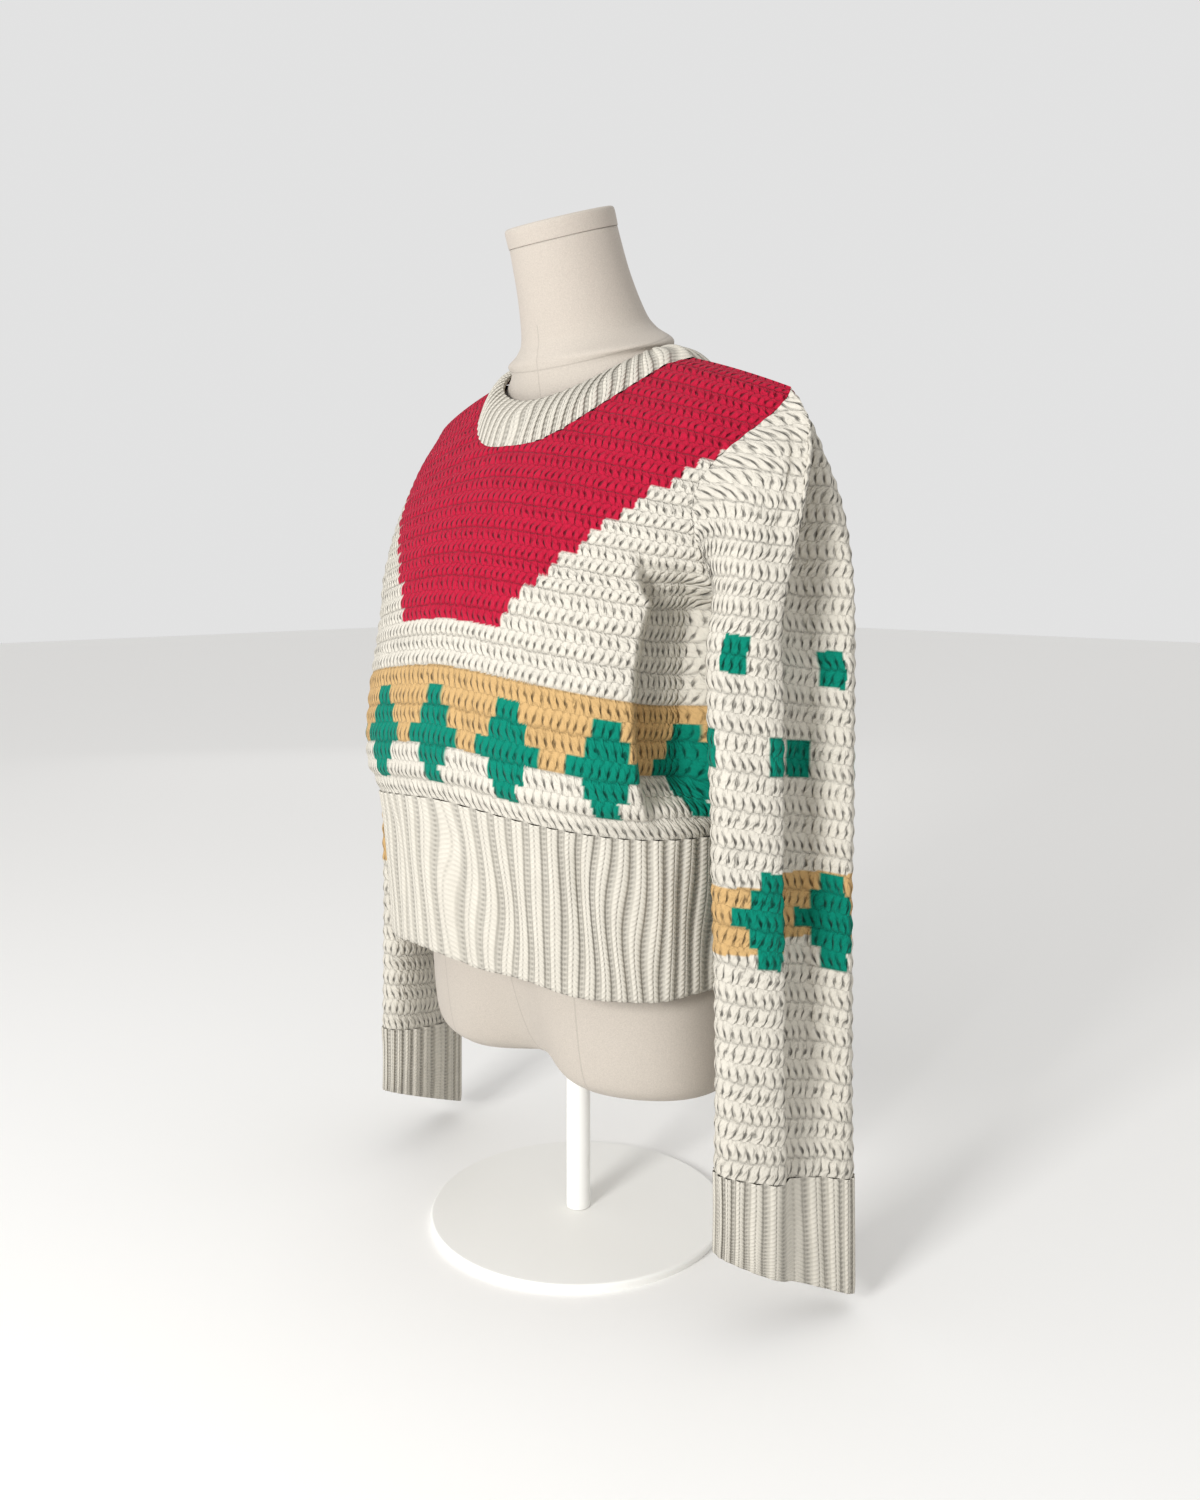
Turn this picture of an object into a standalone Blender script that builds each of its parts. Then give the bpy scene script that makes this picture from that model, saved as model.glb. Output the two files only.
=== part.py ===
"""A cropped crochet sweater worn on a limbless dress form that stands on a pole and a round base.

Metres, +Z up. The form faces -Y, its left side is at +X. The origin is the middle of the base's
underside. Every cloth piece is a closed wall: its outer points follow the garment's shape, its inner
points lie one wall thickness inside them, and neighbours stay apart by a small gap along each seam.
"""

import math

import bmesh
import bpy
from mathutils import Matrix, Vector

# Cloth
WALL = 0.003
SEAM_GAP = 0.0004
RIB_RAISE = 0.0012
SECTION_POWER = 2.5

# Sweater levels, measured up the centre front
HEM_LEVEL = 0.268
RIB_TOP_LEVEL = 0.402
UNDERARM_LEVEL = 0.596
RIDGE_LEVEL = 0.800
ARMHOLE_SPREAD = 0.60
DROP_POWER = 1.6

# Neckline and collar
NECK_HALF_WIDTH = 0.122
FRONT_NECK_DEPTH = 0.096
BACK_NECK_DEPTH = 0.026
COLLAR_HALF_WIDTH = 0.090
COLLAR_FRONT_Y = -0.058
COLLAR_BACK_Y = 0.088
COLLAR_FRONT_Z = 0.747
COLLAR_SIDE_Z = 0.791
COLLAR_BACK_Z = 0.808
COLLAR_BULGE = 0.006

# Ribs
HEM_RIBS = 80
CUFF_RIBS = 24
COLLAR_RIBS = 60

# Mesh fineness
NECK_COLUMNS = 12
SHOULDER_COLUMNS = 5
SIDE_ROWS = 6
ARMHOLE_ROWS = 10
SLEEVE_HEAD_ROWS = 6
SLEEVE_ARM_ROWS = 8
FORM_SIDES = 36
TOP_CROWDING = 1.6

# Body sections: level, half width, depth in front of and behind the side seam, the seam's y, and how
# far the row hangs lower at the side than at the centre
BODY_COLUMNS = ("level", "half_width", "front", "back", "seam_y", "drop")
BODY_SECTIONS = (
    (0.268, 0.176, 0.138, 0.122, -0.008, 0.018),
    (0.335, 0.179, 0.143, 0.125, -0.008, 0.019),
    (0.402, 0.187, 0.150, 0.130, -0.008, 0.021),
    (0.432, 0.199, 0.160, 0.137, -0.008, 0.024),
    (0.490, 0.204, 0.157, 0.136, -0.007, 0.028),
    (0.550, 0.203, 0.149, 0.130, -0.004, 0.030),
    (0.600, 0.206, 0.141, 0.119, 0.000, 0.032),
    (0.650, 0.220, 0.126, 0.110, 0.006, 0.036),
    (0.700, 0.228, 0.100, 0.100, 0.012, 0.044),
    (0.740, 0.232, 0.076, 0.090, 0.018, 0.050),
    (0.778, 0.231, 0.041, 0.072, 0.021, 0.055),
    (0.793, 0.230, 0.023, 0.044, 0.022, 0.056),
    (0.800, 0.229, 0.000, 0.000, 0.022, 0.056),
)

# Hanging sleeve sections: height, centre, half width fore and aft, half thickness, turn of the flat
# section in degrees, depth of the long fold on the outer face, and how far the front edge is higher
SLEEVE_COLUMNS = ("z", "x", "y", "half_width", "half_thick", "turn", "fold", "tilt")
SLEEVE_SECTIONS = (
    (0.520, 0.237, 0.000, 0.068, 0.024, 17.0, 0.018, 0.006),
    (0.420, 0.238, 0.000, 0.065, 0.023, 19.0, 0.022, 0.006),
    (0.300, 0.239, 0.000, 0.062, 0.022, 20.0, 0.020, 0.006),
    (0.200, 0.240, 0.000, 0.061, 0.021, 20.0, 0.014, 0.006),
    (0.118, 0.240, 0.000, 0.062, 0.021, 20.0, 0.007, 0.006),
    (0.021, 0.240, 0.000, 0.063, 0.020, 20.0, 0.003, 0.009),
)
CUFF_TOP_Z = 0.118
CUFF_EDGE_Z = 0.021
FOLD_WIDTH = 0.42
FOLD_PLACE = -0.10
HEAD_PLEATS = ((-0.62, 0.16), (0.05, 0.17), (0.66, 0.16))
HEAD_PLEAT_DEPTH = 0.006

# Form sections from the thighs up: heights at front, side and back, half width, the y of front and
# back, and how far the section narrows at the middle between the thighs
FORM_COLUMNS = ("z_front", "z_side", "z_back", "half_width", "y_front", "y_back", "pinch")
FORM_SECTIONS = (
    (0.153, 0.157, 0.153, 0.160, -0.072, 0.082, 0.72),
    (0.166, 0.170, 0.166, 0.169, -0.086, 0.094, 0.42),
    (0.205, 0.205, 0.205, 0.171, -0.094, 0.102, 0.24),
    (0.270, 0.262, 0.270, 0.168, -0.100, 0.106, 0.10),
    (0.350, 0.345, 0.350, 0.156, -0.100, 0.100, 0.00),
    (0.440, 0.440, 0.440, 0.130, -0.090, 0.084, 0.00),
    (0.510, 0.510, 0.510, 0.138, -0.106, 0.080, 0.00),
    (0.580, 0.580, 0.580, 0.158, -0.130, 0.088, 0.00),
    (0.622, 0.640, 0.640, 0.172, -0.116, 0.092, 0.00),
    (0.656, 0.700, 0.705, 0.184, -0.094, 0.090, 0.00),
)
SHOULDER_COLUMNS_OF_FORM = ("half_width", "z_front", "y_front", "z_back", "y_back")
SHOULDER_SECTIONS = (
    (0.180, 0.680, -0.066, 0.733, 0.082),
    (0.150, 0.702, -0.056, 0.757, 0.078),
    (0.115, 0.726, -0.046, 0.774, 0.076),
    (0.088, 0.752, -0.048, 0.792, 0.074),
)
RIDGE_Y = 0.022
SEAT_GAP = 0.0006
NECK_SINK = 0.0015
NECK_COLUMNS_OF_FORM = ("z", "y", "radius")
NECK_RINGS = (
    (0.797, 0.014, 0.067),
    (0.822, 0.006, 0.058),
    (0.858, -0.006, 0.053),
    (0.8985, -0.0188, 0.0505),
)
NECK_LEAN = math.radians(18.0)
CAP_HEIGHT = 0.018
CAP_RADIUS = 0.0512
CAP_GAP = 0.0004

# Stand
BASE_RADIUS = 0.135
BASE_HEIGHT = 0.008
BASE_BEVEL = 0.002
POLE_RADIUS = 0.011
POLE_GAP = 0.0004

FRONT = -1
BACK = 1


def section_at(columns, sections, key):
    """A table's row at any value of its first column, smoothly blended, as a dict."""
    rising = sections[-1][0] > sections[0][0]
    rows = sections if rising else tuple(reversed(sections))
    keys = [row[0] for row in rows]
    key = min(max(key, keys[0]), keys[-1])
    low = 0
    while low < len(rows) - 2 and key > keys[low + 1]:
        low += 1
    span = keys[low + 1] - keys[low]
    part = (key - keys[low]) / span

    def slope(row, column):
        before = max(row - 1, 0)
        after = min(row + 1, len(rows) - 1)
        rise = rows[after][column] - rows[before][column]
        return rise / (keys[after] - keys[before])

    blended = {}
    for column, name in enumerate(columns):
        start = rows[low][column]
        end = rows[low + 1][column]
        leave = slope(low, column) * span
        arrive = slope(low + 1, column) * span
        square = part * part
        cube = square * part
        blended[name] = (
            start * (2 * cube - 3 * square + 1)
            + leave * (cube - 2 * square + part)
            + end * (3 * square - 2 * cube)
            + arrive * (cube - square)
        )
    return blended


def rounded(value, power):
    """Cosine or sine raised so that the section is squarer than an ellipse."""
    return math.copysign(abs(value) ** (2.0 / power), value)


def armhole_angle(level):
    """How far round the section the panel's edge lies, which opens the armhole."""
    part = (level - UNDERARM_LEVEL) / (RIDGE_LEVEL - UNDERARM_LEVEL)
    if part <= 0.0 or part >= 1.0:
        return 0.0
    return ARMHOLE_SPREAD * math.sin(math.pi * part) ** 0.8


def body_point(side, across, level):
    """A point of the sweater's body; across runs from -1 at the right edge to 1 at the left one."""
    row = section_at(BODY_COLUMNS, BODY_SECTIONS, level)
    depth = row["front"] if side == FRONT else row["back"]
    edge = armhole_angle(level)
    angle = edge + (math.pi - 2.0 * edge) * (1.0 - across) / 2.0
    x = row["half_width"] * rounded(math.cos(angle), SECTION_POWER)
    y = row["seam_y"] + side * max(depth, 0.0) * rounded(math.sin(angle), SECTION_POWER)
    z = level - row["drop"] * (abs(x) / row["half_width"]) ** DROP_POWER
    return Vector((x, y, z))


def body_normal(side, across, level):
    """The outward direction of one side of the body."""
    step = 0.02
    left = body_point(side, min(across + step, 1.0), level)
    right = body_point(side, max(across - step, -1.0), level)
    above = body_point(side, across, min(level + 0.004, RIDGE_LEVEL))
    below = body_point(side, across, level - 0.004)
    normal = (left - right).cross(above - below) * -side
    return normal.normalized()


def body_inward(side, across, level):
    """The direction from the cloth's outer to its inner points, shared by both sides on a seam."""
    on_side_seam = abs(across) > 0.999 and level <= UNDERARM_LEVEL
    on_shoulder = level > RIDGE_LEVEL - 0.001
    if on_side_seam or on_shoulder:
        both = body_normal(FRONT, across, level) + body_normal(BACK, across, level)
        return -both.normalized()
    return -body_normal(side, across, level)


def neck_across():
    """Where the neckline meets the shoulder ridge, as a place across the panel."""
    part = NECK_HALF_WIDTH / section_at(BODY_COLUMNS, BODY_SECTIONS, RIDGE_LEVEL)["half_width"]
    angle = math.acos(part ** (SECTION_POWER / 2.0))
    return 1.0 - 2.0 * angle / math.pi


def top_level(side, across):
    """The level of a panel's top edge: the neckline in the middle and the ridge beside it."""
    limit = neck_across()
    if abs(across) >= limit - 1e-6:
        return RIDGE_LEVEL
    depth = FRONT_NECK_DEPTH if side == FRONT else BACK_NECK_DEPTH
    return RIDGE_LEVEL - depth * math.sqrt(1.0 - (across / limit) ** 2)


def panel_columns():
    """Places across a panel, evenly round the neckline and evenly along each shoulder."""
    limit = neck_across()
    places = []
    for step in range(SHOULDER_COLUMNS):
        places.append(-1.0 + (1.0 - limit) * step / SHOULDER_COLUMNS)
    for step in range(NECK_COLUMNS + 1):
        places.append(limit * math.sin(math.pi * (step / NECK_COLUMNS - 0.5)))
    for step in range(1, SHOULDER_COLUMNS + 1):
        places.append(limit + (1.0 - limit) * step / SHOULDER_COLUMNS)
    return places


def panel_levels(side, across):
    """Levels up one column, with one at the underarm."""
    top = top_level(side, across)
    share = (UNDERARM_LEVEL - RIB_TOP_LEVEL) / (RIDGE_LEVEL - RIB_TOP_LEVEL)
    middle = RIB_TOP_LEVEL + (top - RIB_TOP_LEVEL) * share
    rise = middle - RIB_TOP_LEVEL
    levels = [RIB_TOP_LEVEL + rise * row / SIDE_ROWS for row in range(SIDE_ROWS)]
    for row in range(ARMHOLE_ROWS + 1):
        share = 1.0 - (1.0 - row / ARMHOLE_ROWS) ** TOP_CROWDING
        levels.append(middle + (top - middle) * share)
    return levels


def panel_grid(side):
    """Rows of outer points and inward directions of the front or back panel."""
    columns = panel_columns()
    rows = SIDE_ROWS + ARMHOLE_ROWS + 1
    points = []
    inward = []
    for row in range(rows):
        levels = [panel_levels(side, across)[row] for across in columns]
        points.append([body_point(side, across, level) for across, level in zip(columns, levels)])
        inward.append([body_inward(side, across, level) for across, level in zip(columns, levels)])
    return points, inward


def drawn_in(points):
    """The same rows with every edge moved back by half the gap that a seam keeps."""
    moved = [[point.copy() for point in row] for row in points]
    last_row = len(points) - 1
    last_column = len(points[0]) - 1
    for row in range(last_row + 1):
        for column in range(last_column + 1):
            towards = Vector()
            if row == 0:
                towards += (points[1][column] - points[0][column]).normalized()
            if row == last_row:
                towards += (points[row - 1][column] - points[row][column]).normalized()
            if column == 0:
                towards += (points[row][1] - points[row][0]).normalized()
            if column == last_column:
                towards += (points[row][column - 1] - points[row][column]).normalized()
            moved[row][column] += towards * SEAM_GAP / 2.0
    return moved


def along(points, steps):
    """A polyline's points with each of its stretches split evenly, so that seams match."""
    finer = []
    for start, end in zip(points, points[1:]):
        finer += [start.lerp(end, step / steps) for step in range(steps)]
    return finer


def ring_normals(rings):
    """Inward directions of a tube's rings, from its neighbouring points."""
    count = len(rings[0])
    inward = []
    for row in range(len(rings)):
        below = rings[max(row - 1, 0)]
        above = rings[min(row + 1, len(rings) - 1)]
        directions = []
        for place in range(count):
            round_way = rings[row][(place + 1) % count] - rings[row][place - 1]
            up_way = above[place] - below[place]
            directions.append(round_way.cross(up_way).normalized())
        inward.append(directions)
    return inward


def facing_in(rings, inward):
    """Turns the directions round if they point away from the tube's middle."""
    middle = sum(rings[-1], Vector()) / len(rings[-1])
    towards = sum(direction.dot(middle - point) for point, direction in zip(rings[-1], inward[-1]))
    sign = 1.0 if towards > 0.0 else -1.0
    return [[direction * sign for direction in row] for row in inward]


def mesh_object(name, grid_outer, grid_inner, closed, collection, material):
    """A wall between two grids of points, closed along its rims."""
    mesh = bpy.data.meshes.new(name)
    shape = bmesh.new()
    outer = [[shape.verts.new(point) for point in row] for row in grid_outer]
    inner = [[shape.verts.new(point) for point in row] for row in grid_inner]
    rows = len(outer)
    count = len(outer[0])
    spans = count if closed else count - 1
    for row in range(rows - 1):
        for place in range(spans):
            after = (place + 1) % count
            for grid in (outer, inner):
                low, high = grid[row], grid[row + 1]
                shape.faces.new((low[place], low[after], high[after], high[place]))
    for place in range(spans):
        after = (place + 1) % count
        shape.faces.new((outer[0][after], outer[0][place], inner[0][place], inner[0][after]))
        shape.faces.new((outer[-1][place], outer[-1][after], inner[-1][after], inner[-1][place]))
    if not closed:
        for row in range(rows - 1):
            shape.faces.new((outer[row][0], outer[row + 1][0], inner[row + 1][0], inner[row][0]))
            shape.faces.new((outer[row + 1][-1], outer[row][-1], inner[row][-1], inner[row + 1][-1]))
    bmesh.ops.recalc_face_normals(shape, faces=shape.faces)
    shape.to_mesh(mesh)
    shape.free()
    return placed(name, mesh, collection, material)


def placed(name, mesh, collection, material):
    """An object of a mesh in the collection, smooth but for its sharp edges."""
    thing = bpy.data.objects.new(name, mesh)
    collection.objects.link(thing)
    mesh.materials.append(material)
    mesh.shade_smooth()
    mesh.set_sharp_from_angle(angle=math.radians(50.0))
    return thing


def moved_in(points, inward, depth):
    """Points moved along their inward directions."""
    return [
        [point + direction * depth for point, direction in zip(row, ways)]
        for row, ways in zip(points, inward)
    ]


def ribbed(points, inward):
    """Outer points with every second one raised."""
    raised = []
    for row, ways in zip(points, inward):
        heights = [RIB_RAISE * (place % 2) for place in range(len(row))]
        raised.append([point - way * height for point, way, height in zip(row, ways, heights)])
    return raised


def build_panel(name, side, collection, material):
    points, inward = panel_grid(side)
    outer = drawn_in(points)
    mesh_object(name, outer, moved_in(outer, inward, WALL), False, collection, material)


def hem_ring(level):
    """The body's section at one level, with two points to a rib."""
    points = []
    inward = []
    half = HEM_RIBS
    for place in range(2 * HEM_RIBS):
        side = FRONT if place < half else BACK
        part = (place % half) / half
        across = 1.0 - 2.0 * part if side == FRONT else 2.0 * part - 1.0
        points.append(body_point(side, across, level))
        inward.append(body_inward(side, across, level))
    return points, inward


def build_hem(collection, material):
    levels = (HEM_LEVEL, (HEM_LEVEL + RIB_TOP_LEVEL) / 2.0, RIB_TOP_LEVEL - SEAM_GAP / 2.0)
    rings = [hem_ring(level) for level in levels]
    points = [ring[0] for ring in rings]
    inward = [ring[1] for ring in rings]
    inner = moved_in(points, inward, WALL)
    mesh_object("hem_rib", ribbed(points, inward), inner, True, collection, material)


def sleeve_point(hand, z, angle):
    """A point of the hanging sleeve; angle 0 is its outer face and a quarter turn its front edge."""
    row = section_at(SLEEVE_COLUMNS, SLEEVE_SECTIONS, z)
    forward = row["half_width"] * rounded(math.sin(angle), SECTION_POWER)
    outward = row["half_thick"] * rounded(math.cos(angle), SECTION_POWER)
    place = forward / row["half_width"]
    if math.cos(angle) > 0.0:
        sink = math.exp(-(((place - FOLD_PLACE) / FOLD_WIDTH) ** 2)) * math.cos(angle) ** 0.3
        outward -= row["fold"] * sink
    turn = math.radians(row["turn"])
    x = row["x"] + outward * math.cos(turn) - forward * math.sin(turn)
    y = row["y"] - outward * math.sin(turn) - forward * math.cos(turn)
    return Vector((hand * x, y, z + row["tilt"] * place))


def armhole_loop(hand):
    """The armhole's points and inward directions, from the shoulder tip down the front and up the back."""
    loop = []
    ways = []
    for side in (FRONT, BACK):
        points, inward = panel_grid(side)
        column = -1 if hand > 0 else 0
        edge = [row[column] for row in points][SIDE_ROWS:]
        edge_ways = [row[column] for row in inward][SIDE_ROWS:]
        if side == FRONT:
            edge.reverse()
            edge_ways.reverse()
        loop += along(edge, 2)
        ways += along(edge_ways, 2)
    return loop, ways


def sleeve_rings(hand):
    """The sleeve's rings from the armhole to the cuff, and their inward directions."""
    loop, ways = armhole_loop(hand)
    count = len(loop)
    angles = [2.0 * math.pi * place / count for place in range(count)]
    hang_z = SLEEVE_SECTIONS[0][0]
    rings = []
    for row in range(SLEEVE_HEAD_ROWS):
        part = row / SLEEVE_HEAD_ROWS
        ring = []
        for start, angle in zip(loop, angles):
            end = sleeve_point(hand, hang_z, angle)
            down = end - sleeve_point(hand, hang_z - 0.02, angle)
            reach = (end - start).length
            top_share = (1.0 + math.cos(angle)) / 2.0
            leave = Vector((hand * (0.45 + 0.55 * top_share), 0.0, -0.75)).normalized() * reach
            arrive = -down.normalized() * reach
            square = part * part
            cube = square * part
            point = start * (2 * cube - 3 * square + 1) + leave * (cube - 2 * square + part)
            point += end * (3 * square - 2 * cube) + arrive * (cube - square)
            ring.append(point + head_pleat(hand, part, angle))
        rings.append(ring)
    for row in range(SLEEVE_ARM_ROWS + 1):
        z = hang_z + (CUFF_TOP_Z - hang_z) * row / SLEEVE_ARM_ROWS
        rings.append([sleeve_point(hand, z, angle) for angle in angles])
    inward = facing_in(rings, ring_normals(rings))
    inward[0] = ways
    inward[1] = [(one + two).normalized() for one, two in zip(ways, inward[1])]
    return rings, inward


def head_pleat(hand, part, angle):
    """How far the pleats at the sleeve's head sink a point below its ring."""
    signed = (angle + math.pi) % (2.0 * math.pi) - math.pi
    depth = 0.0
    for place, width in HEAD_PLEATS:
        depth += HEAD_PLEAT_DEPTH * math.exp(-(((signed - place) / width) ** 2))
    depth *= math.sin(math.pi * min(part * 1.6, 1.0))
    return Vector((-hand * depth, 0.0, 0.0))


def closed_gap(rings):
    """Rings with the first and last drawn back from their seams."""
    moved = [[point.copy() for point in ring] for ring in rings]
    for first, second in ((0, 1), (-1, -2)):
        for place, point in enumerate(rings[first]):
            towards = (rings[second][place] - point).normalized()
            moved[first][place] = point + towards * SEAM_GAP / 2.0
    return moved


def build_sleeve(name, hand, collection, material):
    rings, inward = sleeve_rings(hand)
    outer = closed_gap(rings)
    mesh_object(name, outer, moved_in(outer, inward, WALL), True, collection, material)


def build_cuff(name, hand, collection, material):
    count = 2 * CUFF_RIBS
    angles = [2.0 * math.pi * place / count for place in range(count)]
    heights = (CUFF_TOP_Z - SEAM_GAP / 2.0, (CUFF_TOP_Z + CUFF_EDGE_Z) / 2.0, CUFF_EDGE_Z)
    rings = [[sleeve_point(hand, z, angle) for angle in angles] for z in heights]
    inward = facing_in(rings, ring_normals(rings))
    inner = moved_in(rings, inward, WALL)
    mesh_object(name, ribbed(rings, inward), inner, True, collection, material)


def neckline_loop():
    """The neckline's points and inward directions, once round from the left shoulder over the front."""
    loop = []
    ways = []
    first = SHOULDER_COLUMNS
    last = SHOULDER_COLUMNS + NECK_COLUMNS
    steps = COLLAR_RIBS // NECK_COLUMNS
    for side in (FRONT, BACK):
        points, inward = panel_grid(side)
        edge = points[-1][first:last + 1]
        edge_ways = inward[-1][first:last + 1]
        if side == FRONT:
            edge.reverse()
            edge_ways.reverse()
        loop += along(edge, steps)
        ways += along(edge_ways, steps)
    return loop, ways


def collar_inner_edge(count):
    """The collar's free edge round the neck."""
    edge = []
    for place in range(count):
        angle = 2.0 * math.pi * place / count
        forward = math.sin(angle)
        reach = COLLAR_FRONT_Y if forward > 0.0 else COLLAR_BACK_Y
        side_y = (COLLAR_FRONT_Y + COLLAR_BACK_Y) / 2.0
        y = side_y + (reach - side_y) * abs(forward)
        end_z = COLLAR_FRONT_Z if forward > 0.0 else COLLAR_BACK_Z
        z = COLLAR_SIDE_Z + (end_z - COLLAR_SIDE_Z) * abs(forward) ** 1.5
        edge.append(Vector((COLLAR_HALF_WIDTH * math.cos(angle), y, z)))
    return edge


def build_collar(collection, material):
    loop, ways = neckline_loop()
    edge = collar_inner_edge(len(loop))
    rings = []
    for part in (0.0, 0.5, 1.0):
        ring = []
        for start, end, way in zip(loop, edge, ways):
            rise = Vector((0.0, 0.0, 1.0)) - way
            point = start.lerp(end, part) + rise.normalized() * COLLAR_BULGE * math.sin(math.pi * part)
            ring.append(point)
        rings.append(ring)
    inward = ring_normals(rings)
    sign = 1.0 if sum(one.dot(two) for one, two in zip(inward[0], ways)) > 0.0 else -1.0
    inward = [[way * sign for way in ring] for ring in inward]
    inward[0] = ways
    outer = [list(ring) for ring in rings]
    outer[0] = closed_gap(rings)[0]
    inner = moved_in(outer, inward, WALL)
    mesh_object("neck_rib", ribbed(outer, inward), inner, True, collection, material)


def form_ring(section):
    """One section of the form's trunk, from the left side over the front."""
    row = dict(zip(FORM_COLUMNS, section))
    side_y = (row["y_front"] + row["y_back"]) / 2.0
    ring = []
    for place in range(FORM_SIDES):
        angle = 2.0 * math.pi * place / FORM_SIDES
        forward = math.sin(angle)
        x = row["half_width"] * rounded(math.cos(angle), 2.3)
        reach = row["y_front"] if forward > 0.0 else row["y_back"]
        end_z = row["z_front"] if forward > 0.0 else row["z_back"]
        narrow = 1.0 - row["pinch"] * math.exp(-((x / (0.30 * row["half_width"])) ** 2))
        y = side_y + (reach - side_y) * abs(rounded(forward, 2.3)) * narrow
        z = row["z_side"] + (end_z - row["z_side"]) * forward * forward
        ring.append(Vector((x, y, z)))
    return ring


def shoulder_ring(section):
    """A section of the form's shoulders, whose sides lie just under the cloth."""
    row = dict(zip(SHOULDER_COLUMNS_OF_FORM, section))
    top = section_at(BODY_COLUMNS, BODY_SECTIONS, RIDGE_LEVEL)
    fall = top["drop"] * (row["half_width"] / top["half_width"]) ** DROP_POWER
    sink = NECK_SINK if row["half_width"] < NECK_HALF_WIDTH else 0.0
    z_side = RIDGE_LEVEL - fall - WALL - SEAT_GAP - sink
    ring = []
    for place in range(FORM_SIDES):
        angle = 2.0 * math.pi * place / FORM_SIDES
        forward = math.sin(angle)
        reach = row["y_front"] if forward > 0.0 else row["y_back"]
        end_z = row["z_front"] if forward > 0.0 else row["z_back"]
        x = row["half_width"] * math.cos(angle)
        y = RIDGE_Y + (reach - RIDGE_Y) * abs(forward)
        z = z_side + (end_z - z_side) * abs(forward) ** 1.2
        ring.append(Vector((x, y, z)))
    return ring


def neck_ring(centre_z, centre_y, radius, lean):
    """A round section of the leaning neck."""
    ring = []
    for place in range(FORM_SIDES):
        angle = 2.0 * math.pi * place / FORM_SIDES
        flat = Vector((radius * math.cos(angle), -radius * math.sin(angle), 0.0))
        ring.append(Matrix.Rotation(lean, 3, "X") @ flat + Vector((0.0, centre_y, centre_z)))
    return ring


def lofted(name, rings, collection, material):
    """A closed solid through rings, with a flat fan at each end."""
    mesh = bpy.data.meshes.new(name)
    shape = bmesh.new()
    levels = [[shape.verts.new(point) for point in ring] for ring in rings]
    count = len(rings[0])
    for low, high in zip(levels, levels[1:]):
        for place in range(count):
            after = (place + 1) % count
            shape.faces.new((low[place], low[after], high[after], high[place]))
    for ring in (levels[0], levels[-1]):
        middle = shape.verts.new(sum((vert.co for vert in ring), Vector()) / count)
        for place in range(count):
            shape.faces.new((ring[place], ring[(place + 1) % count], middle))
    bmesh.ops.recalc_face_normals(shape, faces=shape.faces)
    shape.to_mesh(mesh)
    shape.free()
    return placed(name, mesh, collection, material)


def build_form(collection, canvas, band):
    rings = [form_ring(section) for section in FORM_SECTIONS]
    rings += [shoulder_ring(section) for section in SHOULDER_SECTIONS]
    leans = [NECK_LEAN * share for share in (0.75, 1.0, 1.0, 1.0)]
    for section, lean in zip(NECK_RINGS, leans):
        row = dict(zip(NECK_COLUMNS_OF_FORM, section))
        rings.append(neck_ring(row["z"], row["y"], row["radius"], lean))
    lofted("form_torso", rings, collection, canvas)
    top_z, top_y, _ = NECK_RINGS[-1]
    up = Vector((0.0, -math.sin(NECK_LEAN), math.cos(NECK_LEAN)))
    base = Vector((0.0, top_y, top_z)) + up * CAP_GAP
    cap_rings = []
    for height, inset in ((0.0, 0.0), (CAP_HEIGHT - 0.002, 0.0), (CAP_HEIGHT, 0.002)):
        centre = base + up * height
        cap_rings.append(neck_ring(centre.z, centre.y, CAP_RADIUS - inset, NECK_LEAN))
    lofted("form_neck_cap", cap_rings, collection, band)


def build_stand(collection, material):
    bpy.ops.mesh.primitive_cylinder_add(
        vertices=64, radius=BASE_RADIUS, depth=BASE_HEIGHT, location=(0.0, 0.0, BASE_HEIGHT / 2.0)
    )
    base = bpy.context.object
    bevel = base.modifiers.new("edge", "BEVEL")
    bevel.width = BASE_BEVEL
    bevel.segments = 2
    crotch_z = FORM_SECTIONS[0][0]
    bottom = BASE_HEIGHT + POLE_GAP
    top = crotch_z - POLE_GAP
    bpy.ops.mesh.primitive_cylinder_add(
        vertices=24, radius=POLE_RADIUS, depth=top - bottom, location=(0.0, 0.0, (top + bottom) / 2.0)
    )
    pole = bpy.context.object
    for thing, name in ((base, "stand_base"), (pole, "stand_pole")):
        thing.name = name
        thing.data.name = name
        thing.data.materials.append(material)
        thing.data.shade_smooth()
        thing.data.set_sharp_from_angle(angle=math.radians(30.0))
        for owner in thing.users_collection:
            owner.objects.unlink(thing)
        collection.objects.link(thing)


def make_material(name, colour, roughness, metallic=0.0):
    """A Principled material of one linear colour."""
    material = bpy.data.materials.new(name)
    material.use_nodes = True
    shader = material.node_tree.nodes["Principled BSDF"]
    shader.inputs["Base Color"].default_value = (*colour, 1.0)
    shader.inputs["Roughness"].default_value = roughness
    shader.inputs["Metallic"].default_value = metallic
    return material


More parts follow.
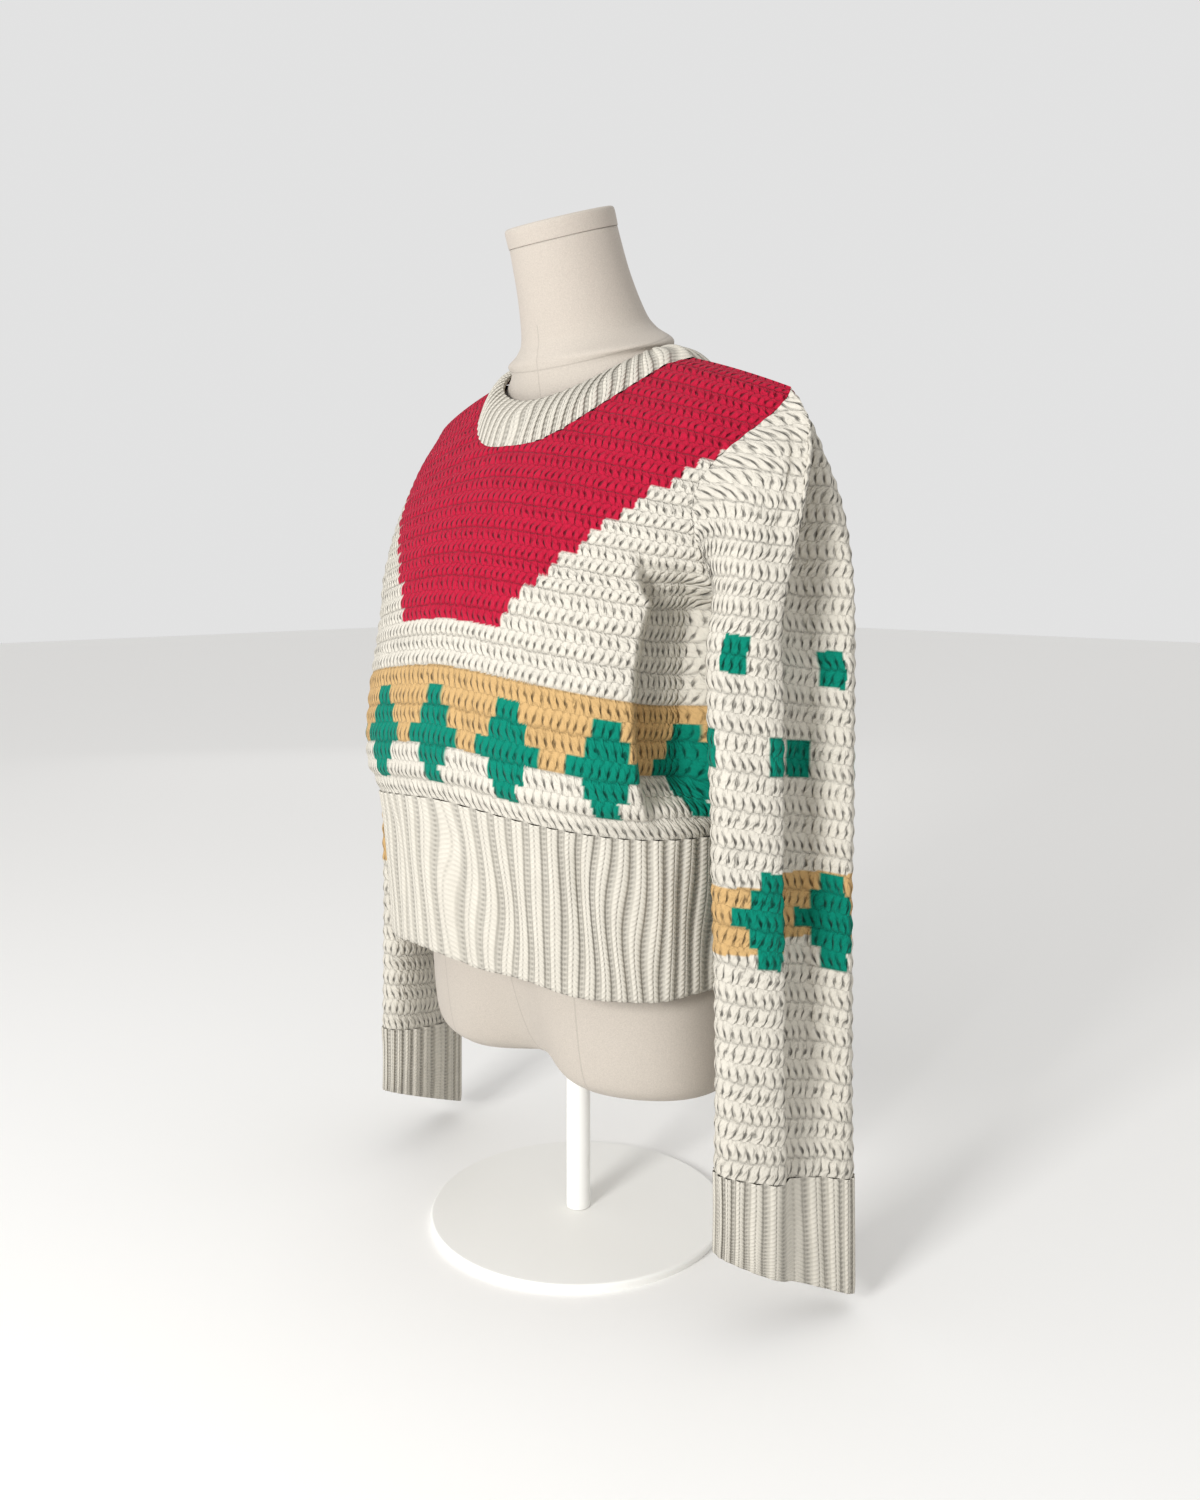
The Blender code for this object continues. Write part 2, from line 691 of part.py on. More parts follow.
def main():
    for thing in list(bpy.data.objects):
        bpy.data.objects.remove(thing, do_unlink=True)
    collection = bpy.data.collections.new("Crochet sweater on a dress form")
    bpy.context.scene.collection.children.link(collection)
    names = ("front", "back", "sleeve", "neck rib", "hem rib", "cuff rib")
    yarn = {name: make_material(f"cream yarn, {name}", (0.79, 0.75, 0.67), 0.9) for name in names}
    canvas = make_material("form canvas", (0.65, 0.60, 0.53), 0.85)
    band = make_material("form neck band", (0.63, 0.57, 0.50), 0.85)
    metal = make_material("powder-coated steel", (0.75, 0.74, 0.72), 0.45)
    build_panel("front", FRONT, collection, yarn["front"])
    build_panel("back", BACK, collection, yarn["back"])
    build_hem(collection, yarn["hem rib"])
    build_collar(collection, yarn["neck rib"])
    for word, hand in (("left", 1), ("right", -1)):
        build_sleeve(f"sleeve_{word}", hand, collection, yarn["sleeve"])
        build_cuff(f"cuff_{word}", hand, collection, yarn["cuff rib"])
    build_form(collection, canvas, band)
    build_stand(collection, metal)


main()
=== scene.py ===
"""Looks for a crochet sweater on a dress form: yarn panels, ribs, canvas form, stand and studio."""

import math

import bmesh
import bpy
import numpy as np
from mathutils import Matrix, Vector


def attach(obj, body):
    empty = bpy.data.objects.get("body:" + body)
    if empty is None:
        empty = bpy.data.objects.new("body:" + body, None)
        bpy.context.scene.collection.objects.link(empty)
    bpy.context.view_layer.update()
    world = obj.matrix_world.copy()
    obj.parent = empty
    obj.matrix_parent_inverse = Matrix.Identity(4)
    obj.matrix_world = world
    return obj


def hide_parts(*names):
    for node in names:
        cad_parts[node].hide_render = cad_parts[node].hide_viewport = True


bl_info = {
    "name": "Crochet sweater on a dress form",
    "version": (1, 0, 0),
    "blender": (4, 5, 0),
    "location": "3D View > Sidebar > Sweater",
    "description": "Builds a cropped crochet sweater, its dress form, stand and studio",
    "category": "Object",
}

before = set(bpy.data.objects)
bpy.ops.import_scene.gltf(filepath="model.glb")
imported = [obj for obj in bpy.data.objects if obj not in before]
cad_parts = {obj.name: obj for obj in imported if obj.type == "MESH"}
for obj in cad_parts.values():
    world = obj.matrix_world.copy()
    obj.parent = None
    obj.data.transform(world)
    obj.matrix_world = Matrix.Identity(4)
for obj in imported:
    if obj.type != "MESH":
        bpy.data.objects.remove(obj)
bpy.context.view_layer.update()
BODY = "root"

FRONT = -1
BACK = 1

# Sweater levels up the centre front and the openings in its panels, in metres
HEM_LEVEL = 0.268
RIB_TOP_LEVEL = 0.402
UNDERARM_LEVEL = 0.596
RIDGE_LEVEL = 0.800
ARMHOLE_SPREAD = 0.60
DROP_POWER = 1.6
SECTION_POWER = 2.5
WALL = 0.003
NECK_HALF_WIDTH = 0.122
FRONT_NECK_DEPTH = 0.096
BACK_NECK_DEPTH = 0.026
COLLAR_HALF_WIDTH = 0.090
COLLAR_FRONT_Y = -0.058
COLLAR_BACK_Y = 0.088
COLLAR_FRONT_Z = 0.747
COLLAR_SIDE_Z = 0.791
COLLAR_BACK_Z = 0.808
COLLAR_BULGE = 0.006
CUFF_TOP_Z = 0.118
CUFF_EDGE_Z = 0.021
ARMHOLE_EASE = 1.6
NECK_SHARE = 0.45

BODY_COLUMNS = ("level", "half_width", "front", "back", "seam_y", "drop")
BODY_SECTIONS = (
    (0.268, 0.176, 0.138, 0.122, -0.008, 0.018),
    (0.335, 0.179, 0.143, 0.125, -0.008, 0.019),
    (0.402, 0.187, 0.150, 0.130, -0.008, 0.021),
    (0.432, 0.199, 0.160, 0.137, -0.008, 0.024),
    (0.490, 0.204, 0.157, 0.136, -0.007, 0.028),
    (0.550, 0.203, 0.149, 0.130, -0.004, 0.030),
    (0.600, 0.206, 0.141, 0.119, 0.000, 0.032),
    (0.650, 0.220, 0.126, 0.110, 0.006, 0.036),
    (0.700, 0.228, 0.100, 0.100, 0.012, 0.044),
    (0.740, 0.232, 0.076, 0.090, 0.018, 0.050),
    (0.778, 0.231, 0.041, 0.072, 0.021, 0.055),
    (0.793, 0.230, 0.023, 0.044, 0.022, 0.056),
    (0.800, 0.229, 0.000, 0.000, 0.022, 0.056),
)
SLEEVE_COLUMNS = ("z", "x", "y", "half_width", "half_thick", "turn", "fold", "tilt")
SLEEVE_SECTIONS = (
    (0.520, 0.237, 0.000, 0.068, 0.024, 17.0, 0.018, 0.006),
    (0.420, 0.238, 0.000, 0.065, 0.023, 19.0, 0.022, 0.006),
    (0.300, 0.239, 0.000, 0.062, 0.022, 20.0, 0.020, 0.006),
    (0.200, 0.240, 0.000, 0.061, 0.021, 20.0, 0.014, 0.008),
    (0.118, 0.240, 0.000, 0.062, 0.021, 20.0, 0.007, 0.011),
    (0.021, 0.240, 0.000, 0.063, 0.020, 20.0, 0.003, 0.009),
)

# The sleeve's long fold and the swell beside it, as shares of its half width, and the head's pleats
FOLD_GAIN = 1.65
FOLD_LIP = (0.24, 0.22)
FOLD_BACK = (-0.88, 0.48)
LOBE_SWELL = 0.004
LOBE_PLACE = 0.42
LOBE_WIDTH = 0.24
OUTER_FADE = 0.3
HEAD_FOLD = 0.028
HEAD_SHARE = 0.34
HEAD_OUT_SHARES = (0.45, 0.55)
HEAD_DOWN_SHARE = -0.75
PLEAT_REACH = 1.6
HEAD_PLEATS = ((-0.95, 0.15, 0.006), (0.66, 0.16, 0.006))
CUFF_SLANT = 0.036

# Gauge: real sizes of the stitches
STITCH_WIDTH = 0.0072
TIGHT_ROW = 0.0125
LOOSE_ROW = 0.0160
LOOSE_UP_TO = 0.519
SLEEVE_ROW = 0.0150
HEM_RIBS = 64
CUFF_RIBS = 22
COLLAR_RIBS = 56
KNIT_HEIGHT = 0.0043
RIB_RELIEF = 0.0026
RIB_SWAY = 0.20
ROW_RELIEF = 0.0006

# Colour fields, in rows and stitches
BAND_LOW = 0.455
BAND_HIGH = 0.519
YOKE_LOW = 0.556
YOKE_HALF_STITCHES = 9
YOKE_STEP = 1.35
BACK_YOKE_ROWS = 1.6
MOTIF_REPEAT = 12
MOTIF_HALF_WIDTHS = (1.5, 3.0, 4.5, 3.0, 1.5)
SLEEVE_BAND = (0.300, 0.352)
SLEEVE_REPEAT = 14
SLEEVE_MOTIF_SHIFT = 7.0
SQUARES_FROM = 3.0
COURSE_ROWS = 5.0
SQUARE_REPEAT = 9.0
COURSE_SHIFT = 4.0
SQUARE_ROWS = 2.0
SQUARE_STITCHES = 3.0

# Fineness of the meshes
SLEEVE_GRID = (200, 380)
WELD = 0.00002


def curved(start, leave, end, arrive, part):
    """A smooth way from a start to an end that leaves and arrives at given rates."""
    square = part * part
    cube = square * part
    return (
        start * (2 * cube - 3 * square + 1)
        + leave * (cube - 2 * square + part)
        + end * (3 * square - 2 * cube)
        + arrive * (cube - square)
    )


def blended(columns, sections, keys):
    """A table's columns at many values of its first one, smoothly blended."""
    falling = sections[-1][0] < sections[0][0]
    rows = np.array(sections[::-1] if falling else sections)
    places = rows[:, 0]
    keys = np.clip(np.asarray(keys, float), places[0], places[-1])
    low = np.clip(np.searchsorted(places, keys, side="left") - 1, 0, len(places) - 2)
    span = places[low + 1] - places[low]
    part = (keys - places[low]) / span
    before = np.maximum(np.arange(len(places)) - 1, 0)
    after = np.minimum(np.arange(len(places)) + 1, len(places) - 1)
    slopes = (rows[after] - rows[before]) / (places[after] - places[before])[:, None]
    found = {}
    for column, name in enumerate(columns):
        leave = slopes[low, column] * span
        arrive = slopes[low + 1, column] * span
        found[name] = curved(rows[low, column], leave, rows[low + 1, column], arrive, part)
    return found


def rounded(value, power):
    """Cosine or sine raised so that the section is squarer than an ellipse."""
    return np.sign(value) * np.abs(value) ** (2.0 / power)


def section_angle(across, level):
    """The angle round the body's section for places across a panel, which opens the armholes."""
    part = (level - UNDERARM_LEVEL) / (RIDGE_LEVEL - UNDERARM_LEVEL)
    edge = ARMHOLE_SPREAD * np.sin(np.pi * np.clip(part, 0.0, 1.0)) ** 0.8
    return edge + (np.pi - 2.0 * edge) * (1.0 - across) / 2.0


def body_points(side, across, level):
    """Points of the sweater's body; across runs from -1 at the right edge to 1 at the left one."""
    row = blended(BODY_COLUMNS, BODY_SECTIONS, level)
    depth = np.maximum(row["front"] if side == FRONT else row["back"], 0.0)
    angle = section_angle(across, level)
    x = row["half_width"] * rounded(np.cos(angle), SECTION_POWER)
    y = row["seam_y"] + side * depth * rounded(np.sin(angle), SECTION_POWER)
    z = level - row["drop"] * (np.abs(x) / row["half_width"]) ** DROP_POWER
    return np.stack([x, y, z], axis=-1)


def unit(vectors):
    """The same directions, one long."""
    return vectors / np.maximum(np.linalg.norm(vectors, axis=-1, keepdims=True), 1e-9)


def body_outward(side, across, level):
    """Outward directions of one side of the body, shared by both sides along a seam."""
    directions = []
    for one in (FRONT, BACK):
        left = body_points(one, np.minimum(across + 0.02, 1.0), level)
        right = body_points(one, np.maximum(across - 0.02, -1.0), level)
        above = body_points(one, across, np.minimum(level + 0.004, RIDGE_LEVEL))
        below = body_points(one, across, level - 0.004)
        directions.append(unit(np.cross(left - right, above - below) * -one))
    own = directions[0] if side == FRONT else directions[1]
    seam = np.clip((np.abs(across) - 0.94) / 0.06, 0.0, 1.0) * (level <= UNDERARM_LEVEL)
    ridge = np.clip((level - RIDGE_LEVEL + 0.006) / 0.006, 0.0, 1.0)
    share = np.maximum(seam, ridge)[..., None]
    return unit(own * (1.0 - share) + unit(directions[0] + directions[1]) * share)


def neck_across():
    """Where the neckline meets the shoulder ridge, as a place across the panel."""
    widest = BODY_SECTIONS[-1][1]
    angle = math.acos((NECK_HALF_WIDTH / widest) ** (SECTION_POWER / 2.0))
    return 1.0 - 2.0 * angle / math.pi


def top_level(side, across):
    """The level of a panel's top edge: the neckline in the middle and the ridge beside it."""
    depth = FRONT_NECK_DEPTH if side == FRONT else BACK_NECK_DEPTH
    inside = np.clip(1.0 - (across / neck_across()) ** 2, 0.0, 1.0)
    return RIDGE_LEVEL - depth * np.sqrt(inside)


def neck_crowded(part):
    """Places across a panel, closer together where the neckline is steep."""
    limit = neck_across()
    inner = limit * np.sin(np.pi / 2.0 * np.clip(part / NECK_SHARE, -1.0, 1.0))
    outer = np.sign(part) * (limit + (1.0 - limit) * (np.abs(part) - NECK_SHARE) / (1.0 - NECK_SHARE))
    return np.where(np.abs(part) < NECK_SHARE, inner, outer)


def stitches_across(side, across, level):
    """Stitches from a panel's middle to a place, counted along the surface at its level."""
    steps = 24
    length = np.zeros(len(across))
    before = body_points(side, np.zeros(len(across)), level)
    for step in range(1, steps + 1):
        point = body_points(side, across * step / steps, level)
        length += np.linalg.norm(point - before, axis=1)
        before = point
    return np.sign(across) * length / STITCH_WIDTH


def body_rows(level):
    """Rows of double crochet worked up to a level, looser at the band and tighter in the yoke."""
    levels = np.linspace(RIB_TOP_LEVEL, RIDGE_LEVEL, 400)
    edge = body_points(FRONT, np.full(400, 0.5), levels)
    steps = np.linalg.norm(np.diff(edge, axis=0), axis=1)
    height = np.where(levels[1:] < LOOSE_UP_TO, LOOSE_ROW, TIGHT_ROW)
    rows = np.concatenate([[0.0], np.cumsum(steps / height)])
    return np.interp(level, levels, rows)


def smooth_step(value):
    """A soft step from 0 to 1."""
    part = np.clip(value, 0.0, 1.0)
    return part * part * (3.0 - 2.0 * part)


def fold_depth(place):
    """The deep fold down a sleeve's outer face: a sharp lip in front and a softer rise behind."""
    lip = smooth_step((FOLD_LIP[0] - place) / FOLD_LIP[1])
    return lip * smooth_step((place - FOLD_BACK[0]) / FOLD_BACK[1])


def sleeve_points(hand, z, angle):
    """Points of the hanging sleeve; angle 0 is its outer face and a quarter turn its front edge."""
    row = blended(SLEEVE_COLUMNS, SLEEVE_SECTIONS, z)
    forward = row["half_width"] * rounded(np.sin(angle), SECTION_POWER)
    outward = row["half_thick"] * rounded(np.cos(angle), SECTION_POWER)
    place = forward / row["half_width"]
    facing_out = np.maximum(np.cos(angle), 0.0)
    sink = fold_depth(place) * facing_out ** OUTER_FADE
    lobe = np.exp(-(((place - LOBE_PLACE) / LOBE_WIDTH) ** 2)) * facing_out
    outward = outward - FOLD_GAIN * row["fold"] * sink + LOBE_SWELL * lobe
    turn = np.radians(row["turn"])
    x = row["x"] + outward * np.cos(turn) - forward * np.sin(turn)
    y = row["y"] - outward * np.sin(turn) - forward * np.cos(turn)
    return np.stack([hand * x, y, z + row["tilt"] * place], axis=-1)


def armhole_points(hand, angle):
    """Points of the armhole, from the shoulder tip (0) down the front and up the back."""
    turned = np.mod(angle, 2.0 * np.pi)
    down = np.where(turned <= np.pi, turned, 2.0 * np.pi - turned) / np.pi
    share = 1.0 - down ** ARMHOLE_EASE
    level = UNDERARM_LEVEL + (RIDGE_LEVEL - UNDERARM_LEVEL) * share
    across = np.full_like(level, float(hand))
    front = body_points(FRONT, across, level)
    back = body_points(BACK, across, level)
    return np.where((turned <= np.pi)[..., None], front, back)


def sleeve_surface(hand, around, along_part):
    """Points of the whole sleeve; the first share of its length is the head, below it hangs."""
    angle = around * 2.0 * np.pi + np.pi
    hang_z = SLEEVE_SECTIONS[0][0]
    part = np.clip(along_part / HEAD_SHARE, 0.0, 1.0)
    start = armhole_points(hand, angle)
    end = sleeve_points(hand, np.full_like(angle, hang_z), angle)
    down = unit(end - sleeve_points(hand, np.full_like(angle, hang_z - 0.02), angle))
    reach = np.linalg.norm(end - start, axis=-1, keepdims=True)
    top_share = (1.0 + np.cos(angle)) / 2.0
    sideways = hand * (HEAD_OUT_SHARES[0] + HEAD_OUT_SHARES[1] * top_share)
    leave = np.stack([sideways, np.zeros_like(angle), np.full_like(angle, HEAD_DOWN_SHARE)], -1)
    head = curved(start, unit(leave) * reach, end, -down * reach, part[..., None])
    signed = np.mod(angle + np.pi, 2.0 * np.pi) - np.pi
    pleat = sum(depth * np.exp(-(((signed - place) / width) ** 2)) for place, width, depth in HEAD_PLEATS)
    swell = np.sin(np.pi * np.minimum(part * PLEAT_REACH, 1.0))
    outer = np.maximum(np.cos(angle), 0.0) ** OUTER_FADE
    head[..., 0] -= hand * HEAD_FOLD * fold_depth(np.sin(angle)) * outer * np.sin(np.pi * part)
    head[..., 0] -= hand * pleat * swell
    z = hang_z + (CUFF_TOP_Z - hang_z) * np.clip((along_part - HEAD_SHARE) / (1.0 - HEAD_SHARE), 0.0, 1.0)
    arm = sleeve_points(hand, z, angle)
    return np.where((along_part < HEAD_SHARE)[..., None], head, arm)


def collar_surface(around, part):
    """Points of the collar's outer face, from the neckline to its free edge."""
    angle = around * 2.0 * np.pi
    forward = np.sin(angle)
    in_front = forward > 0.0
    limit = neck_across()
    across = limit * np.cos(angle)
    front = body_points(FRONT, across, RIDGE_LEVEL - FRONT_NECK_DEPTH * np.abs(forward))
    back = body_points(BACK, across, RIDGE_LEVEL - BACK_NECK_DEPTH * np.abs(forward))
    start = np.where(in_front[..., None], front, back)
    side_y = (COLLAR_FRONT_Y + COLLAR_BACK_Y) / 2.0
    y = side_y + (np.where(in_front, COLLAR_FRONT_Y, COLLAR_BACK_Y) - side_y) * np.abs(forward)
    end_z = np.where(in_front, COLLAR_FRONT_Z, COLLAR_BACK_Z)
    z = COLLAR_SIDE_Z + (end_z - COLLAR_SIDE_Z) * np.abs(forward) ** 1.5
    end = np.stack([COLLAR_HALF_WIDTH * np.cos(angle), y, z], -1)
    level = RIDGE_LEVEL - np.where(in_front, FRONT_NECK_DEPTH, BACK_NECK_DEPTH) * np.abs(forward)
    outward = np.where(
        in_front[..., None],
        body_outward(FRONT, across, level),
        body_outward(BACK, across, level),
    )
    rise = unit(outward + np.array([0.0, 0.0, 1.0]))
    point = start + (end - start) * part[..., None]
    return point + rise * (COLLAR_BULGE * np.sin(np.pi * part))[..., None]


def grid_mesh(name, columns, rows):
    """A flat grid's mesh and its vertices' places from -1 to 1 each way."""
    shape = bmesh.new()
    bmesh.ops.create_grid(shape, x_segments=columns, y_segments=rows, size=1.0)
    mesh = bpy.data.meshes.new(name)
    shape.to_mesh(mesh)
    shape.free()
    flat = np.empty(len(mesh.vertices) * 3)
    mesh.vertices.foreach_get("co", flat)
    flat = flat.reshape(-1, 3)
    return mesh, flat[:, 0], flat[:, 1]


def cloth_object(name, mesh, points, stitch_uv, colours, material, weld=False):
    """Makes a shaped mesh an object with its stitch coordinates and yarn colours."""
    mesh.vertices.foreach_set("co", points.astype(np.float32).ravel())
    corner = np.empty(len(mesh.loops), np.int32)
    mesh.loops.foreach_get("vertex_index", corner)
    uv_map = mesh.uv_layers.new(name="stitches")
    uv_map.data.foreach_set("uv", stitch_uv[corner].astype(np.float32).ravel())
    paint = mesh.color_attributes.new("yarn", "FLOAT_COLOR", "CORNER")
    full = np.concatenate([colours, np.ones((len(colours), 1))], axis=1)
    paint.data.foreach_set("color", full[corner].astype(np.float32).ravel())
    if weld:
        shape = bmesh.new()
        shape.from_mesh(mesh)
        bmesh.ops.remove_doubles(shape, verts=shape.verts, dist=WELD)
        shape.to_mesh(mesh)
        shape.free()
    mesh.update()
    mesh.shade_smooth()
    thing = bpy.data.objects.new(name, mesh)
    bpy.context.scene.collection.objects.link(thing)
    mesh.materials.append(material)
    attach(thing, BODY)
    return thing


def linear(hex_colour):
    """An sRGB hex colour as linear values."""
    parts = [int(hex_colour[place:place + 2], 16) / 255.0 for place in (1, 3, 5)]
    return np.array([p / 12.92 if p <= 0.04045 else ((p + 0.055) / 1.055) ** 2.4 for p in parts])


YARNS = {
    "cream": linear("#D0CBC0"),
    "red": linear("#B32240"),
    "tan": linear("#C4A475"),
    "green": linear("#0D816E"),
}


def field_colours(choice):
    """Yarn colours from a list of (where, yarn), later ones on top of cream."""
    colours = np.tile(YARNS["cream"], (len(choice[0][0]), 1))
    for where, yarn in choice:
        colours[where] = YARNS[yarn]
    return colours


def motif_places(stitch, row, first_row, repeat=MOTIF_REPEAT, shift=0.0):
    """Where a repeated stepped diamond lies, a few stitches to a row."""
    inside = np.zeros(len(stitch), bool)
    offset = np.abs(np.mod(stitch + shift + repeat / 2.0, repeat) - repeat / 2.0)
    for step, half in enumerate(MOTIF_HALF_WIDTHS):
        inside |= (np.floor(row) == first_row + step) & (offset < half)
    return inside


def panel_colours(side, stitch, row):
    """Yoke, band and diamonds of the front or back panel."""
    stitch = np.round(stitch + (np.floor(row) % 2) * 0.2)
    band_low = np.floor(body_rows(np.array(BAND_LOW)))
    band_high = np.floor(body_rows(np.array(BAND_HIGH)))
    yoke_low = np.floor(body_rows(np.array(YOKE_LOW)))
    whole = np.floor(row)
    in_band = (whole >= band_low) & (whole < band_high)
    reach = YOKE_HALF_STITCHES + np.floor((whole - yoke_low) * YOKE_STEP)
    in_yoke = (whole >= yoke_low) & (np.abs(stitch) <= reach)
    if side == BACK:
        in_yoke &= row > body_rows(RIDGE_LEVEL) - BACK_YOKE_ROWS
    diamonds = motif_places(stitch, row, band_low - 2)
    return field_colours([(in_yoke, "red"), (in_band, "tan"), (diamonds, "green")])


def add_node(tree, kind, settings=None, links=None):
    """Adds a node, sets its properties and fills its inputs with values or sockets."""
    node = tree.nodes.new(kind)
    for name, value in (settings or {}).items():
        setattr(node, name, value)
    for key, value in (links or {}).items():
        if isinstance(value, bpy.types.NodeSocket):
            tree.links.new(value, node.inputs[key])
        else:
            node.inputs[key].default_value = value
    return node


def new_material(name):
    """A material with only its Principled shader, its tree and the shader."""
    material = bpy.data.materials.new(name)
    material.use_nodes = True
    tree = material.node_tree
    return material, tree, tree.nodes["Principled BSDF"]


def yarn_finish(tree, shader, known, height, shade, relief):
    """Fibre, fuzz, random tone and the stitches' painted shade, shared by every yarn material."""
    place = add_node(tree, "ShaderNodeTexCoord").outputs["Object"]
    fibre = add_node(tree, "ShaderNodeTexNoise", None, {"Vector": place, "Scale": 1400.0, "Detail": 3.0})
    cloudy = add_node(tree, "ShaderNodeTexNoise", None, {"Vector": place, "Scale": 38.0, "Detail": 2.0})
    steps = (
        ("fuzz", "MULTIPLY", "fibre", 0.16),
        ("height", "ADD", "stitch", "fuzz"),
        ("lighter", "MULTIPLY_ADD", "fibre", 0.22, 0.89),
        ("patchy", "MULTIPLY_ADD", "cloudy", 0.16, 0.92),
        ("varied", "MULTIPLY", "lighter", "patchy"),
        ("tone", "MULTIPLY", "varied", "shade"),
    )
    known.update(fibre=fibre.outputs["Fac"], cloudy=cloudy.outputs["Fac"], stitch=height, shade=shade)
    for name, operation, *values in steps:
        links = {place: known.get(value, value) for place, value in enumerate(values)}
        known[name] = add_node(tree, "ShaderNodeMath", {"operation": operation}, links).outputs[0]
    height = known["height"]
    bump = add_node(tree, "ShaderNodeBump", None, {"Strength": 1.0, "Distance": relief, "Height": height})
    colour = add_node(tree, "ShaderNodeVertexColor", {"layer_name": "yarn"}).outputs["Color"]
    # The yarn's colour is scaled by its random tone and by the painted shade of its stitches.
    tone = {0: colour, "Scale": known["tone"]}
    mixed = add_node(tree, "ShaderNodeVectorMath", {"operation": "SCALE"}, tone)
    tree.links.new(mixed.outputs[0], shader.inputs["Base Color"])
    tree.links.new(bump.outputs[0], shader.inputs["Normal"])
    shader.inputs["Roughness"].default_value = 0.86
    shader.inputs["Sheen Weight"].default_value = 0.06
    shader.inputs["Sheen Roughness"].default_value = 0.5
    shader.inputs["Specular IOR Level"].default_value = 0.12


def crochet_material():
    """Cotton yarn in double crochet, worked in turned rows: leaning posts with small gaps, where the gaps,
    the posts' edges and the grooves between pairs of rows get painted shade.
    """
    material, tree, shader = new_material("cotton yarn, double crochet")
    uv = add_node(tree, "ShaderNodeUVMap", {"uv_map": "stitches"}).outputs[0]
    parts = add_node(tree, "ShaderNodeSeparateXYZ", None, {0: uv})
    wobble = add_node(tree, "ShaderNodeTexNoise", None, {"Vector": uv, "Scale": 1.3, "Detail": 2.0})
    known = {"u0": parts.outputs[0], "v0": parts.outputs[1], "wobble": wobble.outputs["Fac"]}
    full = 2.0 * math.pi
    steps = (
        ("shake", "MULTIPLY_ADD", "wobble", 0.9, -0.45),
        ("u", "ADD", "u0", "shake"),
        ("v", "MULTIPLY_ADD", "shake", 0.35, "v0"),
        ("row", "FLOOR", "v"),
        ("b", "FRACT", "v"),
        ("turned", "MODULO", "row", 2.0),
        ("side", "SUBTRACT", "turned", 0.5),
        ("up", "SUBTRACT", "b", 0.5),
        ("lean0", "MULTIPLY", "side", "up"),
        ("half", "MULTIPLY", "turned", 0.5),
        ("moved", "ADD", "u", "half"),
        ("placed", "MULTIPLY_ADD", "lean0", -1.0, "moved"),
        ("placed_part", "FRACT", "placed"),
        ("d", "SUBTRACT", "placed_part", 0.5),
        ("away0", "ABSOLUTE", "d"),
        ("away", "MULTIPLY", "away0", 2.0),
        ("away_square", "POWER", "away", 2.6),
        ("post", "SUBTRACT", 1.0, "away_square"),
        ("wrap_turn0", "MULTIPLY", "d", full * 1.4),
        ("wrap_turn", "MULTIPLY_ADD", "b", full * 2.0, "wrap_turn0"),
        ("wrap_cos", "COSINE", "wrap_turn"),
        ("wrap", "MULTIPLY_ADD", "wrap_cos", 0.13, 0.87),
        ("wrapped", "MULTIPLY", "post", "wrap"),
        ("top_turn", "MULTIPLY_ADD", "b", full, -0.88 * full),
        ("top_cos", "COSINE", "top_turn"),
        ("top_near", "MULTIPLY_ADD", "top_cos", 0.5, 0.5),
        ("top", "POWER", "top_near", 4.0),
        ("chain_turn0", "MULTIPLY", "moved", full),
        ("chain_turn", "MULTIPLY_ADD", "top_turn", 1.0, "chain_turn0"),
        ("chain_cos", "COSINE", "chain_turn"),
        ("chain", "MULTIPLY_ADD", "chain_cos", 0.20, 0.74),
        ("ridge", "MULTIPLY", "top", "chain"),
        ("body", "SMOOTH_MAX", "wrapped", "ridge", 0.25),
        ("beside", "SUBTRACT", 1.0, "away"),
        ("beside_part", "MULTIPLY", "beside", 2.6),
        ("beside_square", "POWER", "beside_part", 2.0),
        ("height_part", "MULTIPLY_ADD", "b", 4.4, -1.75),
        ("height_square", "MULTIPLY", "height_part", "height_part"),
        ("spread", "ADD", "beside_square", "height_square"),
        ("near", "SUBTRACT", 1.0, "spread"),
        ("hole_open", "MAXIMUM", "near", 0.0),
        ("hole_size", "MULTIPLY_ADD", "wobble", 2.4, -0.42),
        ("hole", "MULTIPLY", "hole_open", "hole_size"),
        ("pair_turn", "MULTIPLY_ADD", "v", math.pi, math.pi),
        ("pair_cos", "COSINE", "pair_turn"),
        ("pair_near", "MULTIPLY_ADD", "pair_cos", 0.5, 0.5),
        ("groove", "POWER", "pair_near", 60.0),
        ("dip", "MULTIPLY", "groove", 0.35),
        ("deep", "MULTIPLY_ADD", "hole", 0.6, "dip"),
        ("stitch_height", "SUBTRACT", "body", "deep"),
        # Painted shade: darker at the posts' edges, in the gaps between stitches and in the grooves between
        # pairs of rows.
        ("away_dark", "POWER", "away", 6.0),
        ("painted_edge_shade", "MULTIPLY", "away_dark", 0.20),
        ("painted_hole_shade", "MULTIPLY_ADD", "hole", 0.56, "painted_edge_shade"),
        ("dark0", "MULTIPLY_ADD", "groove", 0.15, "painted_hole_shade"),
        ("dark", "MINIMUM", "dark0", 0.70),
        ("painted_stitch_shade", "SUBTRACT", 1.0, "dark"),
    )
    for name, operation, *values in steps:
        links = {place: known.get(value, value) for place, value in enumerate(values)}
        known[name] = add_node(tree, "ShaderNodeMath", {"operation": operation}, links).outputs[0]
    yarn_finish(tree, shader, known, known["stitch_height"], known["painted_stitch_shade"], 0.0020)
    return material


